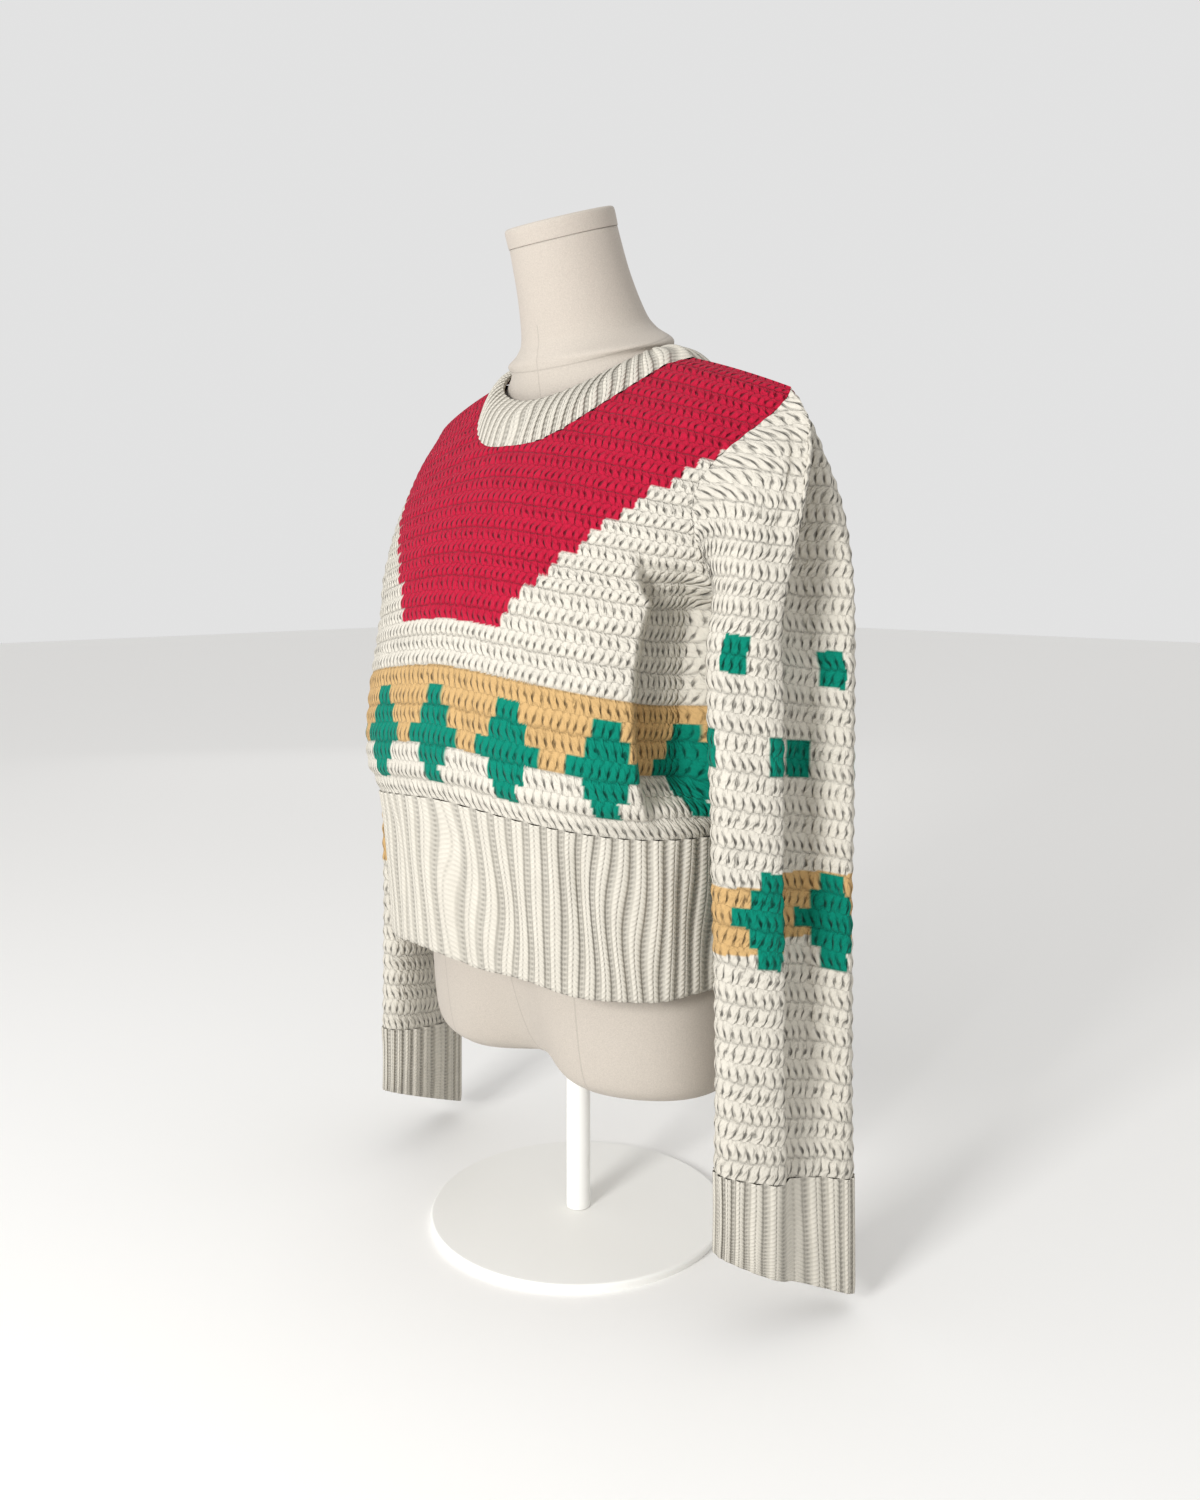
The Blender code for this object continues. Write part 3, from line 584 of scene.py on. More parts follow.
def rib_material():
    """Cotton yarn in two by two rib: raised pairs of knit columns and grooves that show the purl side, with
    painted shade in the grooves, at the pinholes and on the purl bumps, and a little painted light on the
    knit legs.
    """
    material, tree, shader = new_material("cotton yarn, knitted rib")
    uv = add_node(tree, "ShaderNodeUVMap", {"uv_map": "stitches"})
    parts = add_node(tree, "ShaderNodeSeparateXYZ", None, {0: uv.outputs[0]})
    known = {"u": parts.outputs[0], "v": parts.outputs[1]}
    full = 2.0 * math.pi
    steps = (
        ("shifted", "ADD", "u", 0.5),
        ("across0", "FRACT", "shifted"),
        ("across", "SUBTRACT", "across0", 0.5),
        ("centre", "ABSOLUTE", "across"),
        ("groove", "SUBTRACT", 0.5, "centre"),
        ("rise", "MULTIPLY_ADD", "groove", 9.0, -1.0),
        ("rise_low", "MAXIMUM", "rise", 0.0),
        ("raised", "MINIMUM", "rise_low", 1.0),
        ("column0", "MULTIPLY_ADD", "centre", 5.6, -1.0),
        ("column", "MULTIPLY", "column0", "column0"),
        ("column_low", "MINIMUM", "column", 1.0),
        ("crown", "SUBTRACT", 1.0, "column_low"),
        ("leg_turn0", "MULTIPLY", "centre", -2.2),
        ("leg_turn1", "ADD", "v", "leg_turn0"),
        ("leg_turn", "MULTIPLY", "leg_turn1", full),
        ("leg_cos", "COSINE", "leg_turn"),
        ("leg", "MULTIPLY_ADD", "leg_cos", 0.5, 0.5),
        ("v_turn", "MULTIPLY", "v", full),
        ("v_cos", "COSINE", "v_turn"),
        ("beat", "MULTIPLY_ADD", "v_cos", 0.5, 0.5),
        ("offbeat", "SUBTRACT", 1.0, "beat"),
        ("middle_near", "MULTIPLY_ADD", "centre", -16.0, 1.0),
        ("middle", "MAXIMUM", "middle_near", 0.0),
        ("pin", "MULTIPLY", "middle", "beat"),
        ("groove_near", "MULTIPLY_ADD", "groove", -9.0, 1.0),
        ("bottom", "MAXIMUM", "groove_near", 0.0),
        ("purl", "MULTIPLY", "bottom", "offbeat"),
        ("crown_part", "MULTIPLY", "crown", 0.45),
        ("leg_part", "MULTIPLY_ADD", "leg", 0.40, "crown_part"),
        ("height_part", "MULTIPLY_ADD", "pin", -0.5, "leg_part"),
        ("rib_height", "ADD", "height_part", "raised"),
        # Painted shade, darker in the grooves, at the pinholes in the ribs' middles and on the purl bumps at
        # the grooves' bottoms, and painted light, a little lighter on the knit legs.
        ("shade_part", "MULTIPLY_ADD", "raised", 0.20, 0.73),
        ("shade_leg", "MULTIPLY_ADD", "leg", 0.08, "shade_part"),
        ("shade_pin", "MULTIPLY_ADD", "pin", -0.28, "shade_leg"),
        ("painted_rib_shade", "MULTIPLY_ADD", "purl", -0.26, "shade_pin"),
    )
    for name, operation, *values in steps:
        links = {place: known.get(value, value) for place, value in enumerate(values)}
        known[name] = add_node(tree, "ShaderNodeMath", {"operation": operation}, links).outputs[0]
    yarn_finish(tree, shader, known, known["rib_height"], known["painted_rib_shade"], 0.0012)
    return material


# Canvas: thread spacing, width of a seam's line and the places of the seams on the form, in metres
THREAD_SPACING = 0.0011
SEAM_WIDTH = 0.0011
PANEL_SEAM_X = 0.088
SIDE_SEAM_Y = 0.004
NECK_SEAM_SLOPE = -0.36
NECK_SEAM_LEVEL = 0.792
TRUNK_SEAMS_UP_TO = 0.70
MIDDLE_SEAM_UP_TO = 0.815


def canvas_material():
    """Plain-woven cotton canvas glued over the form: matt, faintly grained, with thin dark seam lines."""
    material, tree, shader = new_material("cotton canvas, plain weave")
    place = add_node(tree, "ShaderNodeTexCoord").outputs["Object"]
    parts = add_node(tree, "ShaderNodeSeparateXYZ", None, {0: place})
    grain = add_node(tree, "ShaderNodeTexNoise", None, {"Vector": place, "Scale": 900.0, "Detail": 2.0})
    known = dict(zip("xyz", parts.outputs), grain=grain.outputs["Fac"])
    thread_turns = 2.0 * math.pi / THREAD_SPACING
    steps = (
        ("warp_turn", "MULTIPLY", "x", thread_turns),
        ("warp_more", "MULTIPLY_ADD", "y", thread_turns, "warp_turn"),
        ("warp", "SINE", "warp_more"),
        ("weft_turn", "MULTIPLY", "z", thread_turns),
        ("weft", "SINE", "weft_turn"),
        ("weave", "MULTIPLY", "warp", "weft"),
        ("weave_part", "MULTIPLY_ADD", "weave", 0.30, 0.5),
        ("cloth", "MULTIPLY_ADD", "grain", 0.5, "weave_part"),
        ("x_far", "ABSOLUTE", "x"),
        ("panel_far", "SUBTRACT", "x_far", PANEL_SEAM_X),
        ("panel_abs", "ABSOLUTE", "panel_far"),
        ("lean_y", "MULTIPLY", "y", NECK_SEAM_SLOPE),
        ("neck_plane", "ADD", "z", "lean_y"),
        ("neck_far", "SUBTRACT", "neck_plane", NECK_SEAM_LEVEL),
        ("neck_abs", "ABSOLUTE", "neck_far"),
        ("side_far", "SUBTRACT", "y", SIDE_SEAM_Y),
        ("side_abs", "ABSOLUTE", "side_far"),
        ("low", "LESS_THAN", "z", TRUNK_SEAMS_UP_TO),
        ("not_low", "SUBTRACT", 1.0, "low"),
        ("panel_line", "ADD", "panel_abs", "not_low"),
        ("side_line", "ADD", "side_abs", "not_low"),
        ("above", "GREATER_THAN", "z", MIDDLE_SEAM_UP_TO),
        ("middle_line", "ADD", "x_far", "above"),
        ("one", "MINIMUM", "middle_line", "panel_line"),
        ("two", "MINIMUM", "one", "side_line"),
        ("three", "MINIMUM", "two", "neck_abs"),
        ("scaled", "DIVIDE", "three", SEAM_WIDTH),
        ("seam", "MINIMUM", "scaled", 1.0),
        ("height", "ADD", "cloth", "seam"),
        ("tone", "MULTIPLY_ADD", "seam", 0.16, 0.84),
        ("grainy", "MULTIPLY_ADD", "grain", 0.34, 0.83),
        ("shade", "MULTIPLY", "tone", "grainy"),
    )
    for name, operation, *values in steps:
        links = {place: known.get(value, value) for place, value in enumerate(values)}
        known[name] = add_node(tree, "ShaderNodeMath", {"operation": operation}, links).outputs[0]
    height = known["height"]
    bump = add_node(tree, "ShaderNodeBump", None, {"Strength": 0.5, "Distance": 0.0004, "Height": height})
    tone = {0: linear("#BDB5AB"), "Scale": known["shade"]}
    mixed = add_node(tree, "ShaderNodeVectorMath", {"operation": "SCALE"}, tone)
    tree.links.new(mixed.outputs[0], shader.inputs["Base Color"])
    tree.links.new(bump.outputs[0], shader.inputs["Normal"])
    shader.inputs["Roughness"].default_value = 0.9
    shader.inputs["Sheen Weight"].default_value = 0.1
    return material


def enamel_material():
    """White powder coat baked on steel: a soft satin shine over a fine orange-peel skin."""
    material, tree, shader = new_material("powder-coated steel")
    place = add_node(tree, "ShaderNodeTexCoord").outputs["Object"]
    peel = add_node(tree, "ShaderNodeTexNoise", None, {"Vector": place, "Scale": 700.0, "Detail": 2.0})
    tone = add_node(
        tree, "ShaderNodeMapRange", None, {"Value": peel.outputs["Fac"], "To Min": 0.38, "To Max": 0.50}
    )
    bump = add_node(
        tree, "ShaderNodeBump", None, {"Strength": 0.25, "Distance": 0.0002, "Height": peel.outputs["Fac"]}
    )
    tree.links.new(tone.outputs[0], shader.inputs["Roughness"])
    tree.links.new(bump.outputs[0], shader.inputs["Normal"])
    shader.inputs["Base Color"].default_value = (*linear("#F1F0EC"), 1.0)
    return material


def made(name, make):
    """The material with a name, made by its function the first time that it is asked for."""
    return bpy.data.materials.get(name) or make()


def crochet():
    """The yarn of the panels and the sleeves."""
    return made("cotton yarn, double crochet", crochet_material)


def rib_yarn():
    """The yarn of the hem, the cuffs and the collar."""
    return made("cotton yarn, knitted rib", rib_material)


def canvas():
    """The form's cover."""
    return made("cotton canvas, plain weave", canvas_material)


def enamel():
    """The stand's paint."""
    return made("powder-coated steel", enamel_material)


def creases(points, places):
    """Soft troughs and ridges at listed places: middle, long way, reach, width and depth of each."""
    shift = np.zeros(len(points))
    for centre, way, reach, width, depth in places:
        centre = np.array(centre)
        way = unit(np.array(way, float))
        offset = points - centre
        along = offset @ way
        away = np.linalg.norm(offset - along[:, None] * way, axis=1)
        shift += depth * np.exp(-((away / width) ** 2)) * np.exp(-((along / reach) ** 2))
    return shift


# Drag lines and soft folds: middle, direction, half length, half width and depth, in metres
FRONT_CREASES = (
    ((0.150, -0.120, 0.640), (-0.6, -0.3, -0.7), 0.070, 0.016, -0.0040),
    ((0.120, -0.145, 0.600), (-0.7, -0.2, -0.6), 0.080, 0.018, 0.0030),
    ((-0.150, -0.120, 0.630), (0.6, -0.3, -0.7), 0.070, 0.017, -0.0036),
    ((0.130, -0.150, 0.450), (0.1, 0.0, -1.0), 0.050, 0.018, -0.0034),
    ((0.040, -0.165, 0.440), (-0.1, 0.0, -1.0), 0.045, 0.016, -0.0026),
    ((-0.070, -0.160, 0.450), (0.1, 0.0, -1.0), 0.050, 0.018, -0.0030),
    ((0.000, -0.150, 0.560), (1.0, 0.0, 0.05), 0.110, 0.022, 0.0026),
)
BACK_CREASES = (
    ((0.140, 0.100, 0.620), (-0.5, 0.2, -0.8), 0.080, 0.018, -0.0040),
    ((-0.140, 0.100, 0.610), (0.5, 0.2, -0.8), 0.075, 0.018, -0.0040),
    ((0.060, 0.120, 0.470), (0.1, 0.0, -1.0), 0.070, 0.020, -0.0040),
    ((-0.080, 0.120, 0.460), (-0.1, 0.0, -1.0), 0.065, 0.018, -0.0036),
    ((0.000, 0.110, 0.660), (1.0, 0.0, 0.1), 0.100, 0.024, 0.0026),
)
HEM_CREASES = (
    ((0.130, -0.125, 0.340), (0.05, 0.0, -1.0), 0.060, 0.011, -0.0060),
    ((0.070, -0.145, 0.330), (-0.05, 0.0, -1.0), 0.050, 0.012, -0.0035),
    ((0.010, -0.150, 0.345), (0.06, 0.0, -1.0), 0.055, 0.011, -0.0045),
    ((-0.080, -0.140, 0.335), (0.04, 0.0, -1.0), 0.060, 0.012, -0.0050),
    ((0.172, -0.070, 0.330), (0.0, 0.1, -1.0), 0.060, 0.014, 0.0040),
    ((0.178, 0.030, 0.335), (0.0, 0.1, -1.0), 0.055, 0.012, -0.0045),
    ((-0.170, -0.060, 0.340), (0.0, 0.1, -1.0), 0.055, 0.012, -0.0045),
    ((0.110, 0.110, 0.335), (0.06, 0.0, -1.0), 0.060, 0.012, -0.0050),
    ((0.000, 0.125, 0.330), (-0.04, 0.0, -1.0), 0.050, 0.012, -0.0040),
    ((-0.120, 0.105, 0.340), (0.05, 0.0, -1.0), 0.055, 0.011, -0.0048),
)
CUFF_CREASES = (
    ((0.265, -0.005, 0.070), (0.1, 0.1, -1.0), 0.050, 0.012, -0.0040),
    ((0.225, -0.050, 0.080), (0.0, 0.1, -1.0), 0.040, 0.010, -0.0030),
)
SLEEVE_CREASES = (
    ((0.224, -0.060, 0.560), (0.3, 0.2, -1.0), 0.050, 0.014, -0.0040),
    ((0.262, 0.000, 0.640), (0.0, -0.15, -1.0), 0.090, 0.013, -0.0050),
    ((0.262, 0.030, 0.600), (0.0, 0.1, -1.0), 0.080, 0.012, -0.0044),
    ((0.250, -0.030, 0.660), (0.0, 0.1, -1.0), 0.070, 0.012, -0.0040),
    ((0.235, -0.040, 0.380), (0.4, 0.3, -0.8), 0.040, 0.016, -0.0030),
    ((0.255, 0.040, 0.330), (0.2, -0.3, -0.9), 0.045, 0.016, -0.0034),
    ((0.235, -0.030, 0.240), (0.3, 0.3, -0.9), 0.040, 0.015, -0.0030),
    ((0.255, 0.030, 0.190), (0.2, 0.2, -0.9), 0.040, 0.014, -0.0030),
    ((0.245, 0.000, 0.135), (0.0, 1.0, 0.1), 0.060, 0.009, -0.0022),
)


# Hollows under the arms: side, hand, depth, place of the edge across the panel and its width, then the
# levels between which they lie, how their edge bends and where they end beside the seam
SIDE_HOLLOWS = (
    (FRONT, 1.0, 0.036, 0.600, 0.055),
    (FRONT, -1.0, 0.031, 0.615, 0.060),
    (BACK, 1.0, 0.014, 0.640, 0.16),
    (BACK, -1.0, 0.016, 0.620, 0.14),
)
HOLLOW_TOP = 0.640
HOLLOW_FOOT = 0.405
HOLLOW_FADE = 0.05
HOLLOW_MIDDLE = 0.54
HOLLOW_BEND = 6.0
HOLLOW_END = 0.985
HOLLOW_END_FADE = 0.12

# How fast folds fade towards a piece's edges, and the groove between pairs of rows
PANEL_EDGE_FADE = 12.0
SLEEVE_EDGE_FADE = 14.0
GROOVE_SHARE = -1.2
GROOVE_SHARPNESS = 16


def side_hollows(side, across, level):
    """How far a panel falls in between its rounded front and the arm, with a sharp edge in front."""
    shift = np.zeros(len(across))
    upright = smooth_step((HOLLOW_TOP - level) / HOLLOW_FADE)
    upright *= smooth_step((level - HOLLOW_FOOT) / HOLLOW_FADE)
    for one, hand, depth, edge, width in SIDE_HOLLOWS:
        if one == side:
            lip = edge + HOLLOW_BEND * (level - HOLLOW_MIDDLE) ** 2
            place = across * hand
            beside_seam = smooth_step((HOLLOW_END - place) / HOLLOW_END_FADE)
            shift -= depth * smooth_step((place - lip) / width) * beside_seam * upright
    return shift


class PanelSettings(bpy.types.PropertyGroup):
    """Fineness and relief of the crochet cloth."""

    columns: bpy.props.IntProperty(
        name="Columns", description="Faces across a panel", default=300, min=40, max=330
    )
    rows: bpy.props.IntProperty(name="Rows", description="Faces up a panel", default=260, min=40, max=280)
    row_relief: bpy.props.FloatProperty(
        name="Row relief", description="Height of a crochet row's ridge", default=ROW_RELIEF, unit="LENGTH"
    )


class RibSettings(bpy.types.PropertyGroup):
    """Relief and fineness of the ribs."""

    relief: bpy.props.FloatProperty(
        name="Rib relief", description="Height of a rib over its groove", default=RIB_RELIEF, unit="LENGTH"
    )
    points: bpy.props.IntProperty(
        name="Points a rib", description="Faces across one rib", default=10, min=4, max=16
    )


def build_panel(side, name, folds):
    """The front or back panel from the hem rib up to the neckline and the shoulders."""
    settings = bpy.context.scene.sweater_panels
    columns, rows = settings.columns, settings.rows
    mesh, part_x, part_y = grid_mesh(name, columns, rows)
    across = neck_crowded(part_x)
    top = top_level(side, across)
    up = (part_y + 1.0) / 2.0
    level = RIB_TOP_LEVEL + (top - RIB_TOP_LEVEL) * up
    points = body_points(side, across, level)
    outward = body_outward(side, across, level)
    stitch = stitches_across(side, across, level)
    row = body_rows(level)
    fade = np.clip((1.0 - up) * PANEL_EDGE_FADE, 0.0, 1.0) * np.clip(up * PANEL_EDGE_FADE, 0.0, 1.0)
    shift = creases(points, folds) * fade + side_hollows(side, across, level)
    ridge = -np.cos(2.0 * np.pi * row) * settings.row_relief
    between_pairs = ((1.0 - np.cos(np.pi * row)) / 2.0) ** GROOVE_SHARPNESS
    groove = GROOVE_SHARE * settings.row_relief * between_pairs
    points = points + outward * (shift + ridge + groove)[:, None]
    uv = np.stack([stitch, row], -1)
    thing = cloth_object(name, mesh, points, uv, panel_colours(side, stitch, row), crochet())
    if side == BACK:
        thing.data.flip_normals()
    return thing


def tube_mesh(name, columns, rows):
    """A closed ring's flat mesh with its vertices' places round it and along it, from 0 to 1."""
    mesh, part_x, part_y = grid_mesh(name, columns, rows)
    return mesh, (part_x + 1.0) / 2.0, (part_y + 1.0) / 2.0


def surface_outward(surface, around, part, hand):
    """Directions out of a closed tube's surface, from points just beside each place."""
    step = 0.001
    round_way = surface(np.mod(around + step, 1.0), part) - surface(np.mod(around - step, 1.0), part)
    upper = np.maximum(part - 2.0 * step, 0.0)
    lower = np.minimum(part + 2.0 * step, 1.0)
    return unit(np.cross(round_way, surface(around, lower) - surface(around, upper))) * hand


def sleeve_colours(stitch, row, height):
    """Tan band with stepped diamonds and a few small squares above it."""
    stitch = np.round(stitch)
    low, high = SLEEVE_BAND
    in_band = (height >= low) & (height < high)
    band_row = np.floor(np.median(row[np.abs(height - (low + high) / 2.0) < 0.004]))
    diamonds = motif_places(stitch, row, band_row - 2, SLEEVE_REPEAT, SLEEVE_MOTIF_SHIFT)
    course = np.floor((row - band_row - SQUARES_FROM) / COURSE_ROWS)
    offset = np.mod(stitch + COURSE_SHIFT * course, SQUARE_REPEAT)
    in_course = np.mod(np.floor(row) - band_row - SQUARES_FROM, COURSE_ROWS) < SQUARE_ROWS
    squares = in_course & (course >= 1.0) & (course < 3.0) & (offset < SQUARE_STITCHES)
    return field_colours([(in_band, "tan"), (diamonds, "green"), (squares, "green")])


def mirrored(folds, hand):
    """The same folds on the left (1) or the right (-1) side."""
    return [((hand * c[0], c[1], c[2]), (hand * w[0], w[1], w[2]), *rest) for c, w, *rest in folds]


def build_sleeve(word, hand):
    """One sleeve from the armhole to the cuff, with its listed folds."""
    columns, rows = SLEEVE_GRID
    mesh, around, along = tube_mesh(f"sleeve_{word}_cloth", columns, rows)

    def surface(places, parts):
        return sleeve_surface(hand, places, parts)

    points = surface(around, along)
    net = points.reshape(rows + 1, columns + 1, 3)
    down = np.cumsum(np.linalg.norm(np.diff(net, axis=0, prepend=net[:1]), axis=2), axis=0)
    row = ((down[-1] - down) / SLEEVE_ROW).ravel()
    aside = np.cumsum(np.linalg.norm(np.diff(net, axis=1, prepend=net[:, :1]), axis=2), axis=1)
    stitch = ((aside - aside[:, columns // 2][:, None]) / STITCH_WIDTH).ravel()
    outward = surface_outward(surface, around, along, hand)
    folds = mirrored(SLEEVE_CREASES, hand)
    fade = np.clip(along * SLEEVE_EDGE_FADE, 0.0, 1.0) * np.clip((1.0 - along) * SLEEVE_EDGE_FADE, 0.0, 1.0)
    ridge = -np.cos(2.0 * np.pi * row) * ROW_RELIEF
    points = points + outward * (creases(points, folds) * fade + ridge)[:, None]
    uv = np.stack([stitch, row], -1)
    colours = sleeve_colours(stitch, row, points[:, 2])
    name = f"sleeve_{word}_cloth"
    thing = cloth_object(name, mesh, points, uv, colours, crochet(), weld=True)
    if hand < 0:
        thing.data.flip_normals()
    return thing


# Ribs: flatness on top, rows in the rolled edge, relief left at the edge, and the slow waves that make
# the ribs wander (waves round the ring, bend down its height, share)
RIB_FLATNESS = 0.55
ROLL_ROWS = 3
EDGE_RELIEF = 0.35
RIB_WAVES = ((5.0, 3.0, 1.0), (13.0, 5.0, 0.7))
# The hem's uneven edge: waves round the body, where they start and their height
HEM_WAVES = ((7.0, 0.0, 0.0012), (11.0, 1.0, 0.0010))


def rib_profile(place):
    """Height of a rib's section, flat on top with a rounded groove between ribs."""
    wave = 0.5 + 0.5 * np.cos(2.0 * np.pi * place)
    return wave ** RIB_FLATNESS


def build_rib(name, ribs, rows, surface, height, hand, folds=(), inside=0.16):
    """A ribbed ring of cloth: its outer face, its rolled edge and a short turn-in behind it."""
    settings = bpy.context.scene.sweater_ribs
    columns = ribs * settings.points
    inner_rows = ROLL_ROWS + int(rows * inside)
    mesh, around, along = tube_mesh(name, columns, rows + inner_rows)
    index = np.round(along * (rows + inner_rows))
    outer = index <= rows
    part = np.where(outer, index / rows, 1.0 - np.maximum(index - rows - ROLL_ROWS, 0.0) / rows)
    points = surface(around, part)
    outward = surface_outward(surface, around, part, hand)
    turn = np.clip((index - rows) / ROLL_ROWS, 0.0, 1.0)
    depth = -WALL * 0.5 * (1.0 - np.cos(np.pi * turn))
    from_edge = np.clip((rows - index) / ROLL_ROWS, 0.0, 1.0)
    turns = around * 2.0 * np.pi
    wander = sum(share * np.sin(turns * waves + bend * part) for waves, bend, share in RIB_WAVES)
    sway = RIB_SWAY * (ribs / HEM_RIBS) ** 2 * np.sin(np.pi * part) * wander
    place = around * ribs + sway
    kept = np.where(outer, EDGE_RELIEF + (1.0 - EDGE_RELIEF) * from_edge, 0.0)
    relief = (rib_profile(place) - 0.5) * settings.relief * kept
    shift = creases(points, folds) * np.clip(part * 5.0, 0.0, 1.0)
    points = points + outward * (depth + relief + shift)[:, None]
    uv = np.stack([place, part * height / KNIT_HEIGHT], -1)
    cream = np.tile(YARNS["cream"], (len(points), 1))
    thing = cloth_object(name, mesh, points, uv, cream, rib_yarn(), weld=True)
    if hand < 0:
        thing.data.flip_normals()
    return thing


def hem_surface(around, part):
    """The hem rib from the panels (0) down to its free edge (1)."""
    in_front = around <= 0.5
    across_front = 1.0 - 4.0 * around
    across_back = 4.0 * around - 3.0
    turns = around * 2.0 * np.pi
    wave = sum(height * np.sin(turns * waves + start) for waves, start, height in HEM_WAVES)
    level = RIB_TOP_LEVEL + (HEM_LEVEL - RIB_TOP_LEVEL) * part
    front = body_points(FRONT, np.clip(across_front, -1.0, 1.0), level)
    back = body_points(BACK, np.clip(across_back, -1.0, 1.0), level)
    points = np.where(in_front[..., None], front, back)
    points[..., 2] += wave * part
    return points


def cuff_surface(hand):
    """The surface of one cuff, from the sleeve (0) to its free edge (1)."""

    def surface(around, part):
        angle = around * 2.0 * np.pi
        z = CUFF_TOP_Z + (CUFF_EDGE_Z - CUFF_TOP_Z) * part
        points = sleeve_points(hand, z, angle)
        points[..., 2] += CUFF_SLANT * part * part * (1.0 + rounded(np.sin(angle), SECTION_POWER)) / 2.0
        return points

    return surface


def smooth_object(name, mesh, material):
    """An object for a finished mesh of the form or the stand."""
    mesh.update()
    mesh.shade_smooth()
    thing = bpy.data.objects.new(name, mesh)
    bpy.context.scene.collection.objects.link(thing)
    mesh.materials.append(material)
    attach(thing, BODY)
    return thing

# The trunk's sections, as in the solids: height in front, at the sides and behind, half width, front and
# back, and how far the middle is pinched in between the thighs
FORM_SECTIONS = (
    (0.153, 0.157, 0.153, 0.160, -0.072, 0.082, 0.72),
    (0.166, 0.170, 0.166, 0.169, -0.086, 0.094, 0.42),
    (0.205, 0.205, 0.205, 0.171, -0.094, 0.102, 0.24),
    (0.270, 0.262, 0.270, 0.168, -0.100, 0.106, 0.10),
    (0.350, 0.345, 0.350, 0.156, -0.100, 0.100, 0.00),
    (0.440, 0.440, 0.440, 0.130, -0.090, 0.084, 0.00),
    (0.510, 0.510, 0.510, 0.138, -0.106, 0.080, 0.00),
    (0.580, 0.580, 0.580, 0.158, -0.130, 0.088, 0.00),
    (0.622, 0.640, 0.640, 0.172, -0.116, 0.092, 0.00),
    (0.656, 0.700, 0.705, 0.184, -0.094, 0.090, 0.00),
)
# The shoulders' sections: half width, height and place in front, then behind, and how far the side is raised
SHOULDER_SECTIONS = (
    (0.180, 0.680, -0.066, 0.733, 0.082, 0.0),
    (0.150, 0.702, -0.056, 0.757, 0.078, 0.0),
    (0.115, 0.735, -0.046, 0.774, 0.076, -0.001),
    (0.088, 0.767, -0.049, 0.796, 0.075, 0.006),
)
RIDGE_Y = 0.022
SEAT_GAP = 0.0022
# The neck's rings: height, place, radius, widening sideways and share of the neck's lean
NECK_RINGS = (
    (0.797, 0.014, 0.067, 1.31, 0.75),
    (0.808, 0.0103, 0.0630, 1.09, 0.90),
    (0.822, 0.006, 0.058, 1.03, 1.00),
    (0.858, -0.006, 0.053, 1.00, 1.00),
    (0.8985, -0.0188, 0.0505, 1.00, 1.00),
)
NECK_LEAN = math.radians(18.0)
CAP_HEIGHT = 0.018
CAP_RADIUS = 0.0512
# The cap's rings: height over the neck and how far they are set in
CAP_RINGS = ((0.0004, 0.0006), (0.0016, 0.0), (CAP_HEIGHT - 0.003, 0.0), (CAP_HEIGHT, 0.0022))
FORM_POWER = 2.3
PINCH_WIDTH = 0.30
SHOULDER_POWER = 1.5
RING_POINTS = 161
TORSO_STEPS = 176
CAP_STEPS = 24
END_SHARES = (0.02, 0.5, 0.97)


def trunk_ring(section, angle):
    """One section of the form's trunk."""
    z_front, z_side, z_back, half_width, y_front, y_back, pinch = section
    forward = np.sin(angle)
    x = half_width * rounded(np.cos(angle), FORM_POWER)
    side_y = (y_front + y_back) / 2.0
    narrow = 1.0 - pinch * np.exp(-((x / (PINCH_WIDTH * half_width)) ** 2))
    reach = np.where(forward > 0.0, y_front, y_back) - side_y
    y = side_y + reach * np.abs(rounded(forward, FORM_POWER)) * narrow
    z = z_side + (np.where(forward > 0.0, z_front, z_back) - z_side) * forward * forward
    return np.stack([x, y, z], -1)


def shoulder_ring(section, angle):
    """One section of the form's shoulders, just under the cloth."""
    half_width, z_front, y_front, z_back, y_back, lift = section
    widest, drop = BODY_SECTIONS[-1][1], BODY_SECTIONS[-1][5]
    z_side = RIDGE_LEVEL - drop * (half_width / widest) ** DROP_POWER - WALL - SEAT_GAP + lift
    forward = np.sin(angle)
    y = RIDGE_Y + (np.where(forward > 0.0, y_front, y_back) - RIDGE_Y) * np.abs(forward)
    z = z_side + (np.where(forward > 0.0, z_front, z_back) - z_side) * np.abs(forward) ** SHOULDER_POWER
    return np.stack([half_width * np.cos(angle), y, z], -1)


def neck_ring(z, y, radius, widening, lean_share, angle):
    """A section of the leaning neck, widened sideways where it flares into the shoulders."""
    lean = NECK_LEAN * lean_share
    flat_y = -radius * np.sin(angle)
    x = radius * widening * np.cos(angle)
    return np.stack([x, y + flat_y * math.cos(lean), z + flat_y * math.sin(lean)], -1)


def through_rings(rings, parts):
    """Points on a smooth skin through rings, at places counted in rings."""
    rings = np.array(rings)
    low = np.clip(np.floor(parts).astype(int), 0, len(rings) - 2)
    part = (parts - low)[:, None, None]
    before = np.maximum(low - 1, 0)
    after = np.minimum(low + 2, len(rings) - 1)
    leave = (rings[low + 1] - rings[before]) / 2.0
    arrive = (rings[after] - rings[low]) / 2.0
    return curved(rings[low], leave, rings[low + 1], arrive, part)


